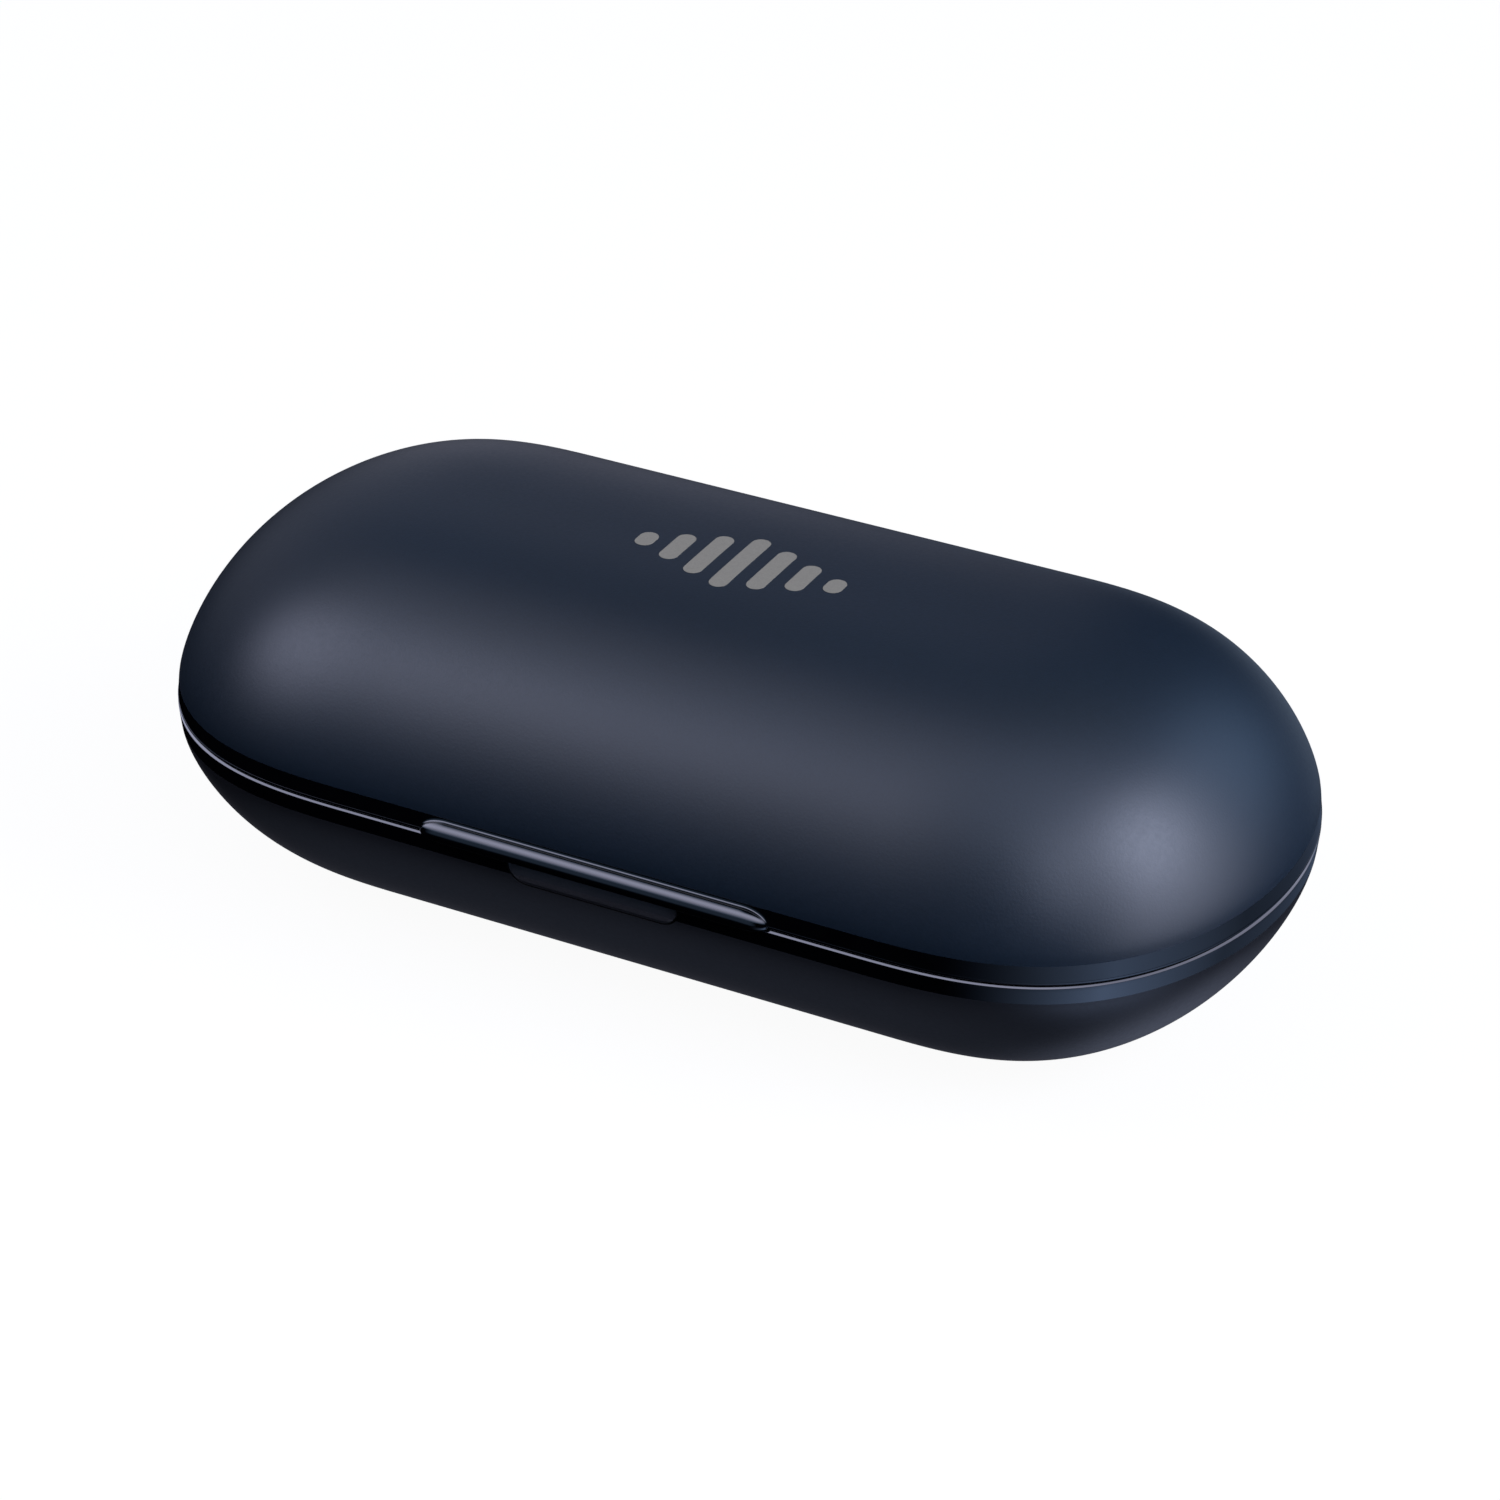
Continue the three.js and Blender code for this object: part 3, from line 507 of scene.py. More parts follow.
def lid_ring(material):
    """The lid's polished ring, with the finger lip at the front and the middle knuckle behind."""
    ends = np.linspace(LIP["half"] + 0.1, LIP["half"] - LIP["end"] - 0.1, 44)
    outer = np.linspace(HALF_STRAIGHT, ends[0], 14)[1:-1]
    inner = np.linspace(ends[-1], -ends[-1], 54)[1:-1]
    right = np.concatenate([outer, ends])
    front_x = -np.concatenate([right, inner, -right[::-1]])
    stations = station_table(BACK_X, front_x)
    face_outs, face_heights = lip_face(stations)
    deck_side = LINER_FACE + DECK + DECK_FIT
    ledge_top = deck_side + LEDGE_DEPTH
    section = [(-SPIGOT_INSET, LID_BAND_TOP), (-SPIGOT_INSET, ledge_top - LEDGE_BEVEL)]
    section += [(-SPIGOT_INSET - LEDGE_BEVEL, ledge_top), (-LEDGE_INSET, ledge_top)]
    section += [(-LEDGE_INSET, deck_side), (-RIM_INSET, deck_side)]
    section += arc((-RIM_INSET + RIM_EDGE, LID_EDGE + RIM_EDGE), RIM_EDGE, 180, 270, 6)
    outs, heights = repeat(section, stations)
    piece = ring_body(
        "lid_polished_rim",
        np.concatenate([face_outs, outs]),
        np.concatenate([face_heights, heights]),
        stations,
        material,
    )
    half = LID_KNUCKLE / 2
    for side in (-1, 1):
        near, far = side * (half + KNUCKLE_GAP / 2), side * (HINGE_LENGTH / 2 + KNUCKLE_GAP)
        x = sorted((near, far))
        boolean(piece, box_body(x, (NOTCH_Y, BEHIND), (LID_EDGE - 1, LID_BAND_TOP), material))
    profile = [(0, -half), (KNUCKLE_R - 0.1, -half), (KNUCKLE_R, 0.1 - half)]
    profile += [(r, -h) for r, h in reversed(profile)]
    knuckle = turned("knuckle", profile, 64, along_x(0, HINGE_Y, PARTING), material)
    boolean(piece, knuckle, "UNION")
    boolean(piece, pin_bore(half + 1, material))
    return piece


def pin_bore(half, material):
    profile = [(0, -half), (PIN_BORE_R, -half), (PIN_BORE_R, half), (0, half)]
    return turned("bore", profile, 32, along_x(0, HINGE_Y, PARTING), material)


def bevel(start, size):
    """A bevel with slightly rounded edges, going up and inwards from start."""
    out, up = start
    edge = 0.2 * size
    points = arc((out - edge, up + 0.4 * edge), edge, 0, 38, 4)
    points += arc((out - size, up + size - edge), edge, 52, 90, 4)
    return points


def base_ring(material, recess_material, seam_material):
    """The base's polished ring, with its outer knuckles and the ledges the open lid lands on."""
    deck_side = TRAY_FACE - DECK - DECK_FIT
    ledge_bottom = deck_side - LEDGE_DEPTH
    section = even([(-BAND_TAPER, BASE_BAND_BOTTOM), (0, BASE_EDGE - BEVEL)], 6).tolist()[:-1]
    section += bevel((0, BASE_EDGE - BEVEL), BEVEL)
    section += arc((-RIM_INSET + RIM_EDGE, BASE_EDGE - RIM_EDGE), RIM_EDGE, 90, 180, 6)
    section += [(-RIM_INSET, deck_side), (-LEDGE_INSET, deck_side), (-LEDGE_INSET, ledge_bottom)]
    section += [(-SPIGOT_INSET - LEDGE_BEVEL, ledge_bottom)]
    section += [(-SPIGOT_INSET, ledge_bottom + LEDGE_BEVEL)]
    section += [(-SPIGOT_INSET, BASE_BAND_BOTTOM)]
    piece = ring_body("base_polished_rim", *repeat(section, STATIONS), STATIONS, material)
    clear = LID_KNUCKLE / 2 + KNUCKLE_GAP / 2
    boolean(piece, recess_cutter(recess_material))
    boolean(piece, recess_seam(seam_material))
    boolean(piece, box_body((-clear, clear), (NOTCH_Y, BEHIND), (BASE_BAND_BOTTOM - 0.1, 14), material))
    for side in (-1, 1):
        boolean(piece, base_knuckle(side, material), "UNION")
        boolean(piece, stop_ledge(side, material), "UNION")
    return piece


def base_knuckle(side, material):
    """An outer knuckle: bored from its inner end, with a rounded nose at its outer one."""
    inner = LID_KNUCKLE / 2 + KNUCKLE_GAP
    length = HINGE_LENGTH / 2 - inner
    profile = [(0, 0.5), (PIN_BORE_R, 0.5), (PIN_BORE_R, 0), (KNUCKLE_R - 0.1, 0), (KNUCKLE_R, 0.1)]
    for t in np.linspace(0, math.pi / 2, 12)[:-1]:
        profile.append((KNUCKLE_R * math.cos(t), length - KNUCKLE_NOSE * (1 - math.sin(t))))
    profile.append((0, length))
    return turned("knuckle", profile, 64, along_x(side * inner, HINGE_Y, PARTING, side), material)


def stop_ledge(side, material):
    """A rounded ledge behind each outer knuckle."""
    inner = LID_KNUCKLE / 2 + KNUCKLE_GAP
    top = PARTING + STOP["top"]
    low = top - STOP["height"]
    reach = HINGE_Y + STOP["reach"]
    outline = [(HINGE_Y - 0.3, top), (HINGE_Y - 0.3, low)]
    outline += arc((reach - 0.35, low + 0.35), 0.35, -90, 0, 6)
    outline += arc((reach - 0.12, top - 0.12), 0.12, 0, 90, 4)
    x = [side * (inner + 0.001), side * (inner + STOP["length"])]
    return closed_loft("ledge", [[(a, y, z) for y, z in outline] for a in x], material)


# ---- Earbud pockets ----
def pocket_outline(side, inset):
    """Round an earbud's body circle and its smaller tip circle, moved inwards by inset."""
    (bx, by, br), (tx, ty, tr) = POCKET_BODY, POCKET_TIP
    apart = math.hypot(tx - bx, ty - by)
    heading = math.degrees(math.atan2(ty - by, tx - bx))
    wrap = math.degrees(math.acos((br - tr) / apart))
    body = arc((bx, by), br - inset, heading + wrap, heading + 360 - wrap, 90)
    tip = arc((tx, ty), tr - inset, heading - wrap, heading + wrap, 60)
    points = even(body + tip + [body[0]], 151)[:-1]
    return points * (side, 1)


def pocket_profile(depth, grow):
    """(inset, depth below the mouth plane) of a pocket's wall down to its floor."""
    t = np.linspace(0, math.pi / 2, 4001)
    inset = POCKET_ROUND * (1 - np.maximum(np.cos(t), 0) ** POCKET_POWER) - grow
    down = (depth + grow) * np.sin(t) ** POCKET_POWER
    return even(np.stack([inset, down], 1), 26)


def inside(point, polygon):
    """Is a point inside a polygon? Counts the edges to its right."""
    x, y = point
    a, b = polygon, np.roll(polygon, -1, axis=0)
    crosses = (a[:, 1] > y) != (b[:, 1] > y)
    at = a[:, 0] + (y - a[:, 1]) * (b[:, 0] - a[:, 0]) / np.where(crosses, b[:, 1] - a[:, 1], 1)
    return np.count_nonzero(crosses & (at > x)) % 2 == 1


def plane_with_holes(loops, indices):
    """Triangles between an outer loop and the holes in it, as faces over the given vertex indices."""
    points = np.concatenate(loops)
    edges, start = [], 0
    for loop in loops:
        edges += [(start + i, start + (i + 1) % len(loop)) for i in range(len(loop))]
        start += len(loop)
    flat = [Vector(p) for p in points]
    made = delaunay_2d_cdt(flat, edges, [], 1, 1e-7)
    verts, triangles, origins = made[0], made[2], made[3]
    faces = []
    for triangle in triangles:
        middle = np.mean([verts[k] for k in triangle], axis=0)
        if inside(middle, loops[0]) and not any(inside(middle, hole) for hole in loops[1:]):
            faces.append(tuple(indices[origins[k][0]] for k in triangle))
    return faces


def moulded_insert(name, face, floor, material):
    """The tray or the liner: a deck with two pockets. It hangs from face towards floor."""
    away = math.copysign(1, floor - face)
    points, faces = [], []

    def add(loop, z):
        start = sum(len(p) for p in points)
        points.append(np.concatenate([loop, np.full((len(loop), 1), z)], 1))
        return list(range(start, start + len(loop)))

    def wall(loops):
        rows = [add(loop, z) for loop, z in loops]
        for low, high in zip(rows, rows[1:]):
            for i in range(len(low)):
                j = (i + 1) % len(low)
                faces.append((low[i], low[j], high[j], high[i]))
        return rows[0], rows[-1]

    def pocket(side, profile, loops, rows):
        levels = [(pocket_outline(side, inset), face + away * down) for inset, down in profile]
        first, last = wall(levels)
        loops.append(levels[0][0])
        rows += first
        faces.append(tuple(last))

    radius = 0.2
    edge = [(ring(DECK_INSET + radius - out, 0)[:, :2], face + away * down)
            for out, down in arc((0, radius), radius, -90, 0, 4)]
    edge.append((ring(DECK_INSET, 0)[:, :2], face + away * DECK))
    top_loop, bottom_loop = wall(edge)
    top_loops, top_rows = [edge[0][0]], list(top_loop)
    bottom_loops, bottom_rows = [edge[-1][0]], list(bottom_loop)
    mouth = 0.45
    for side in (-1, 1):
        profile = [(down - mouth, mouth + out) for out, down in arc((0, 0), mouth, -90, 0, 6)]
        profile += [tuple(p) for p in pocket_profile(abs(floor - face), 0) if p[1] > mouth + 0.1]
        pocket(side, profile, top_loops, top_rows)
        outer = pocket_profile(abs(floor - face), MOULDING)
        profile = [(np.interp(DECK, outer[:, 1], outer[:, 0]), DECK)]
        profile += [tuple(p) for p in outer if p[1] > DECK + 0.05]
        pocket(side, profile, bottom_loops, bottom_rows)
    faces += plane_with_holes(top_loops, top_rows)
    faces += plane_with_holes(bottom_loops, bottom_rows)
    return make_object(name, np.concatenate(points), faces, material)


def contact_nodes(kind):
    return sorted(n for n in frame["nodes"] if n.startswith("contact_" + kind))


def tray(material):
    piece = moulded_insert("cradle_tray_moulding", TRAY_FACE, POCKET_FLOOR, material)
    low, high = box_mm("light_pipe")
    holes = []
    for node in contact_nodes("barrel"):
        x, y, foot, _ = contact_place(node)
        holes.append((x, y, foot, CONTACT_HOLE_R, -1, 4))
    for x in LIGHT_X:
        holes.append((x, (low[1] + high[1]) / 2, TRAY_FACE, 0.7, -3, 2))
    for x, y, z, radius, bottom, top in holes:
        profile = [(0, bottom), (radius, bottom), (radius, top), (0, top)]
        boolean(piece, turned("hole", profile, 32, along_z(x, y, z), material))
    return piece


def liner(material):
    return moulded_insert("lid_liner_moulding", LINER_FACE, LID_POCKET_TOP, material)


# ---- Charging contacts, light guide and socket ----
def contact_place(node):
    """A contact's axis as x and y, the height its barrel stands on, and how tall the barrel is."""
    low, high = box_mm(node.replace("plunger", "barrel").replace("spring", "barrel"))
    x, y = (low + high)[:2] / 2
    return x, y, low[2], high[2] - low[2]


def contact_barrel(node, material):
    x, y, foot, height = contact_place(node)
    profile = [(0, 0), (0.65, 0), (0.65, height - 0.08), (0.62, height - 0.02), (0.57, height)]
    profile += [(0.42, height), (0.4, height - 0.03), (0.4, height - 0.2), (0.52, height - 0.2)]
    profile += [(0.52, BARREL_FLOOR), (0, BARREL_FLOOR)]
    return turned(node + "_fine", profile, 48, along_z(x, y, foot), material)


def contact_plunger(node, material):
    x, y, foot, height = contact_place(node)
    top = height + 0.88
    profile = [(0, COLLAR), (0.43, COLLAR), (0.46, COLLAR + 0.03), (0.46, COLLAR + 0.4)]
    profile.append((0.34, COLLAR + 0.5))
    for t in np.linspace(0, math.pi / 2, 12)[:-1]:
        profile.append((0.34 * math.cos(t), top - 0.3 + 0.3 * math.sin(t)))
    profile.append((0, top))
    return turned(node + "_fine", profile, 48, along_z(x, y, foot), material)


def contact_spring(node, material):
    """A coil of round wire, with its ends closed."""
    low, high = box_mm(node)
    x, y, _, _ = contact_place(node)
    wire, radius, turns, steps, sides = 0.045, 0.4, 3, 96, 12
    rings = []
    for i in range(steps + 1):
        a = 2 * math.pi * turns * i / steps
        z = low[2] + 2 * wire + (high[2] - low[2] - 4 * wire) * i / steps
        section = [(radius + wire * math.cos(b), wire * math.sin(b))
                   for b in np.linspace(0, 2 * math.pi, sides, endpoint=False)]
        rings.append([(x + out * math.cos(a), y + out * math.sin(a), z + up) for out, up in section])
    return closed_loft(node + "_fine", rings, material)


def light_guide(material):
    """A bar under the deck with three round pillars that end flush with the tray's face."""
    low, high = box_mm("light_pipe")
    foot_top = TRAY_FACE - DECK - 0.1
    piece = box_body((low[0], high[0]), (low[1], high[1]), (low[2], foot_top), material)
    piece.name = "light_guide"
    y = (low[1] + high[1]) / 2
    for x in LIGHT_X:
        profile = [(0, foot_top - 0.3), (0.6, foot_top - 0.3), (0.6, TRAY_FACE - 0.05), (0.55, TRAY_FACE)]
        profile.append((0, TRAY_FACE))
        boolean(piece, turned("pillar", profile, 40, along_z(x, y, 0), material), "UNION")
    return piece


def socket_shell(material):
    """A drawn steel tube with a rounded mouth."""
    low, high = SOCKET_BOX
    width, height = high[0] - low[0], high[2] - low[2]
    wall, mouth, radius = 0.27, high[1], 0.09
    section = [(0, low[1]), (0, mouth - radius)]
    section += [(radius - a, mouth - radius + b) for a, b in arc((0, 0), radius, 15, 75, 4)]
    section += [(wall - radius - a, mouth - radius + b) for a, b in arc((0, 0), radius, 105, 165, 4)]
    section += [(wall, mouth - radius), (wall, low[1])]
    middle = (low[2] + high[2]) / 2
    rings = [[(a, y, middle + b) for a, b in stadium(width - 2 * inset, height - 2 * inset, 96)]
             for inset, y in section]
    faces = quads(len(rings), len(rings[0]), wrap=True)
    return make_object("usb_socket_tube", np.concatenate(rings), faces, material)


def rounded_block(name, width, height, radius, edge, y0, y1, material):
    """A rounded rectangle swept along Y, on the socket's axis, with its far end softened."""
    z = (SOCKET_BOX[0][2] + SOCKET_BOX[1][2]) / 2
    rings = []
    for inset, y in [(0, y0), (0, y1 - edge), (0.3 * edge, y1 - 0.3 * edge), (edge, y1)]:
        half, tall, r = width / 2 - inset, height / 2 - inset, max(radius - inset, 0.02)
        outline = []
        for quarter, (side_x, side_z) in enumerate([(1, 1), (-1, 1), (-1, -1), (1, -1)]):
            centre = (side_x * (half - r), side_z * (tall - r))
            outline += arc(centre, r, 90 * quarter, 90 * quarter + 90, 8)
        rings.append([(a, y, z + b) for a, b in outline])
    return closed_loft(name, rings, material)


def socket_tongue(material):
    low, high = box_mm("usb_socket_tongue")
    width, height = high[0] - low[0], high[2] - low[2]
    back = low[1] + 2
    piece = rounded_block("usb_socket_insulator", width, height, height / 2, 0.1, low[1], back, material)
    tongue = rounded_block("tongue", 6.69, 0.7, 0.3, 0.12, back - 0.3, high[1], material)
    boolean(piece, tongue, "UNION")
    return piece


def socket_pads(material):
    """The rows of contacts along both faces of the tongue."""
    front = box_mm("usb_socket_tongue")[1][1]
    middle = (SOCKET_BOX[0][2] + SOCKET_BOX[1][2]) / 2
    points, faces = [], []
    for face in (-1, 1):
        for i in range(12):
            x = (i - 5.5) * 0.5
            z = sorted((middle + face * 0.33, middle + face * 0.365))
            corners = box_points((x - 0.13, x + 0.13), (front - 3.9, front - 0.45), z)
            faces += [tuple(k + len(points) for k in quad) for quad in BOX_FACES]
            points += corners
    return make_object("usb_socket_contacts", points, faces, material)


# ---- Mark on the lid ----
def crown_height(y):
    """Height of the mark's face over the lid's straight middle, at distance y from the centre line."""
    share = (np.abs(y) / (HALF_WIDTH - BAND_TAPER)) ** DOME_POWERS[0]
    return LID_BAND_TOP + INK_THICKNESS + DOME_RISE * (1 - share) ** (1 / DOME_POWERS[1])


def lid_mark(material):
    """A plain row of printed bars, like a sound level, lying on the crown."""
    points, faces = [], []
    width, gap = 1.3, 2.3
    for i, length in enumerate([1.9, 3.7, 5.6, 7.2, 5.6, 3.7, 1.9]):
        x = (i - 3) * gap
        radius = width / 2
        turn = np.linspace(0.12, math.pi / 2, 12)
        straight = length / 2 - radius
        y = np.concatenate([
            -straight - radius * np.cos(turn),
            np.linspace(-straight, straight, 24)[1:-1],
            straight + radius * np.cos(turn[::-1]),
        ])
        beyond = np.maximum(np.abs(y) - length / 2 + radius, 0)
        half = np.sqrt(np.maximum(radius**2 - beyond**2, 0))
        rings = []
        for across, along in zip(half, y):
            top = crown_height(along)
            low = top - INK_THICKNESS - INK_SUNK
            corners = [(-across, top), (across, top), (across, low), (-across, low)]
            rings.append([(x + out, along, z) for out, z in corners])
        faces += loft_faces(rings, len(points))
        points += sum(rings, [])
    return make_object("lid_printed_mark", points, faces, material)


# ---- Finishes ----
class Nodes:
    """The node tree of a material, a light or the world."""

    def __init__(self, owner):
        owner.use_nodes = True
        self.tree = owner.node_tree

    def add(self, kind, settings=None, **inputs):
        made = self.tree.nodes.new(kind)
        for key, value in (settings or {}).items():
            setattr(made, key, value)
        for key, value in inputs.items():
            self.fill(made.inputs[key.replace("_", " ")], value)
        return made

    def fill(self, socket, value):
        if isinstance(value, bpy.types.NodeSocket):
            self.tree.links.new(value, socket)
        elif socket.type == "RGBA":
            socket.default_value = (*value, 1)
        else:
            socket.default_value = value

    def maths(self, operation, *values):
        made = self.add("ShaderNodeMath", {"operation": operation})
        for socket, value in zip(made.inputs, values):
            self.fill(socket, value)
        return made.outputs[0]


class Finish(Nodes):
    """A procedural material. Its textures use the frame's own coordinates, so sizes are real."""

    def __init__(self, name, **inputs):
        self.material = bpy.data.materials.new(name)
        super().__init__(self.material)
        self.shader = self.tree.nodes["Principled BSDF"]
        self.place = self.add("ShaderNodeTexCoord").outputs["Object"]
        for key, value in inputs.items():
            self.set(key, value)

    def set(self, key, value):
        self.fill(self.shader.inputs[key.replace("_", " ")], value)

    def noise(self, size, detail=2.0, stretch=(1, 1, 1)):
        """Noise whose grains are about size millimetres across."""
        scale = tuple(s / (size * MM) for s in stretch)
        spread = self.add("ShaderNodeMapping", Vector=self.place, Scale=scale)
        made = self.add("ShaderNodeTexNoise", Vector=spread.outputs[0], Scale=1.0, Detail=detail)
        return made.outputs["Fac"]

    def ramp(self, value, low, high, start=0.3, end=0.7):
        """low to high as value goes from start to end; colours or plain numbers."""
        if isinstance(low, (int, float)):
            limits = {"From_Min": start, "From_Max": end, "To_Min": low, "To_Max": high}
            return self.add("ShaderNodeMapRange", Value=value, **limits).outputs[0]
        made = self.add("ShaderNodeValToRGB", Fac=value)
        made.color_ramp.elements[0].position = start
        made.color_ramp.elements[0].color = (*low, 1)
        made.color_ramp.elements[1].position = end
        made.color_ramp.elements[1].color = (*high, 1)
        return made.outputs["Color"]

    def vary(self, key, size, low, high, detail=3.0):
        """One of the shader's inputs wanders between low and high."""
        self.set(key, self.ramp(self.noise(size, detail), low, high))

    def bump(self, height, depth, strength=1.0):
        """Relief of depth millimetres from a height between 0 and 1."""
        made = self.add("ShaderNodeBump", Height=height, Distance=depth * MM, Strength=strength)
        self.set("Normal", made.outputs["Normal"])


def shade(colour, factor):
    return tuple(min(c * factor, 1) for c in colour)


def satin_lacquer(name, colour, roughness):
    """Pearly lacquer: fine glittering grain, and tone that drifts a little over the shell."""
    finish = Finish(name)
    drift = finish.ramp(finish.noise(22, 2), shade(colour, 0.92), shade(colour, 1.08))
    grain = finish.noise(0.16, 2)
    sparkle = finish.ramp(grain, 0.88, 1.12)
    mixed = finish.add("ShaderNodeVectorMath", {"operation": "SCALE"}, Vector=drift, Scale=sparkle)
    finish.set("Base Color", mixed.outputs[0])
    finish.set("Roughness", finish.ramp(finish.noise(0.3, 3), roughness - 0.02, roughness + 0.02))
    finish.bump(grain, 0.006)
    return finish


def polished(name, colour, roughness):
    """Clear glossy moulding with the faintest waviness, dust and hairlines."""
    finish = Finish(name, IOR=2.1)
    finish.vary("Base Color", 9, shade(colour, 0.85), shade(colour, 1.15))
    finish.vary("Roughness", 1.3, roughness * 0.8, roughness * 1.3, 5)
    finish.bump(finish.noise(7, 1), 0.002)
    return finish


def moulded(name, colour, roughness, grain=0.35, depth=0.012):
    """Spark-eroded plastic: an even pebbled grain."""
    finish = Finish(name)
    finish.vary("Base Color", 6, shade(colour, 0.85), shade(colour, 1.2))
    finish.vary("Roughness", 1.5, roughness - 0.05, roughness + 0.05)
    finish.bump(finish.noise(grain, 3), depth)
    return finish


def metal(name, colour, roughness, stretch=(1, 1, 1)):
    """Plated or drawn metal, with fine lines along the long direction of stretch."""
    finish = Finish(name, Metallic=1.0)
    finish.vary("Base Color", 1.6, shade(colour, 0.86), shade(colour, 1.08))
    lines = finish.noise(0.09, 4, stretch)
    finish.set("Roughness", finish.ramp(lines, roughness * 0.7, roughness * 1.4))
    finish.bump(lines, 0.0015)
    return finish


def circuit_board(name, colour):
    """Solder mask over copper tracks, which show as paler, raised ways."""
    finish = Finish(name, Roughness=0.38)
    cells = finish.add(
        "ShaderNodeTexVoronoi",
        {"distance": "MANHATTAN", "feature": "F1"},
        Vector=finish.place,
        Scale=1 / (1.1 * MM),
    )
    tracks = finish.ramp(cells.outputs["Distance"], 1.0, 0.0, 0.42, 0.5)
    finish.set("Base Color", finish.ramp(tracks, shade(colour, 0.75), shade(colour, 1.9), 0.2, 0.8))
    finish.bump(tracks, 0.03)
    return finish


def crinkled_foil(name, colour):
    finish = Finish(name, Metallic=0.9)
    folds = finish.add("ShaderNodeTexVoronoi", {"feature": "DISTANCE_TO_EDGE"}, Vector=finish.place)
    folds.inputs["Scale"].default_value = 1 / (1.4 * MM)
    finish.vary("Base Color", 3, shade(colour, 0.85), shade(colour, 1.05))
    finish.vary("Roughness", 0.8, 0.3, 0.5)
    finish.bump(folds.outputs["Distance"], 0.12)
    return finish


def open_foam(name, colour):
    finish = Finish(name)
    cells = finish.add("ShaderNodeTexVoronoi", Vector=finish.place, Scale=1 / (0.35 * MM))
    finish.set("Base Color", finish.ramp(cells.outputs["Distance"], shade(colour, 1.6), shade(colour, 0.4)))
    finish.set("Roughness", finish.ramp(cells.outputs["Distance"], 0.85, 1.0))
    finish.bump(cells.outputs["Distance"], 0.15)
    return finish


def copper_film(name, colour):
    """Amber film with the darker stripes of the tracks inside."""
    finish = Finish(name)
    stripes = finish.add("ShaderNodeTexWave", {"bands_direction": "Y"}, Vector=finish.place)
    stripes.inputs["Scale"].default_value = 1 / (0.8 * MM * 2)
    finish.set("Base Color", finish.ramp(stripes.outputs["Fac"], shade(colour, 0.6), shade(colour, 1.1)))
    finish.vary("Roughness", 0.9, 0.25, 0.4)
    finish.bump(stripes.outputs["Fac"], 0.02)
    return finish


def frosted_plastic(name, colour):
    finish = Finish(name, Subsurface_Weight=0.6, Subsurface_Scale=0.6 * MM)
    finish.vary("Base Color", 1.2, shade(colour, 0.94), colour)
    finish.vary("Roughness", 0.5, 0.35, 0.5)
    finish.bump(finish.noise(0.2, 2), 0.004)
    return finish


def printed_ink(name, colour):
    """Flat grey ink with a fine metallic fleck and slightly uneven cover."""
    finish = Finish(name, Metallic=0.15)
    fleck = finish.noise(0.12, 3)
    finish.set("Base Color", finish.ramp(fleck, shade(colour, 0.93), shade(colour, 1.07)))
    finish.vary("Roughness", 0.4, 0.45, 0.6)
    finish.bump(fleck, 0.001)
    return finish


SLOT_COLOURS = {m["slot"]: tuple(m["base_color"]) for m in frame["record"]["materials"]}


def make_finishes():
    """A finish for each of the record's material slots, and more for the base, its dish and the mark."""
    c = SLOT_COLOURS
    made = [
        satin_lacquer("satin_navy", SATIN_COLOUR, SATIN_ROUGHNESS),
        # the base's copy of the navy satin, greyed with painted light
        satin_lacquer("satin_charcoal", BASE_COLOUR_WITH_PAINTED_LIGHT, SATIN_ROUGHNESS),
        # painted shadow in the slot round the dish
        satin_lacquer("seam_black", SEAM_PAINTED_SHADOW_COLOUR, 0.6),
        # charcoal of the dish, with painted light where the lip shades it
        satin_lacquer("dish_charcoal", DISH_COLOUR_WITH_PAINTED_LIGHT, 0.36),
        # the rim's faces in the dish, a copy of the dish charcoal with painted light
        satin_lacquer("dish_edge", DISH_EDGE_PAINTED_LIGHT_COLOUR, 0.36),
        polished("gloss_navy", GLOSS_COLOUR, 0.11),
        moulded("matt_black", c["matt_black"], 0.55),
        metal("steel", c["steel"], 0.24, (1, 0.08, 1)),
        metal("contact_gold", c["contact_gold"], 0.2, (1, 1, 6)),
        metal("magnet_nickel", c["magnet_nickel"], 0.2),
        circuit_board("board_green", c["board_green"]),
        moulded("chip_black", c["chip_black"], 0.6, 0.15, 0.006),
        crinkled_foil("battery_foil", c["battery_foil"]),
        open_foam("foam", c["foam"]),
        copper_film("amber_film", c["amber_film"]),
        frosted_plastic("frosted_clear", c["frosted_clear"]),
        moulded("white_plastic", c["white_plastic"], 0.4, 0.25, 0.004),
        moulded("wire_red", c["wire_red"], 0.4, 0.5, 0.006),
        moulded("wire_black", c["wire_black"], 0.4, 0.5, 0.006),
        printed_ink("grey_ink", INK_COLOUR),
    ]
    return {finish.material.name.split(".")[0]: finish.material for finish in made}


# ---- Putting the case together ----
def free_cad_names():
    """The imported materials give up their names, which are the slots' names. Returns node: slot."""
    slots = {node: piece.material_slots[0].material.name for node, piece in frame["nodes"].items()}
    for material in list(bpy.data.materials):
        material.name = "imported"
    return slots


def stand_in(piece, body, slot, *nodes):
    """A fine piece rides on its body and is shown in place of the CAD nodes."""
    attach(piece, body)
    if nodes:
        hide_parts(*nodes)


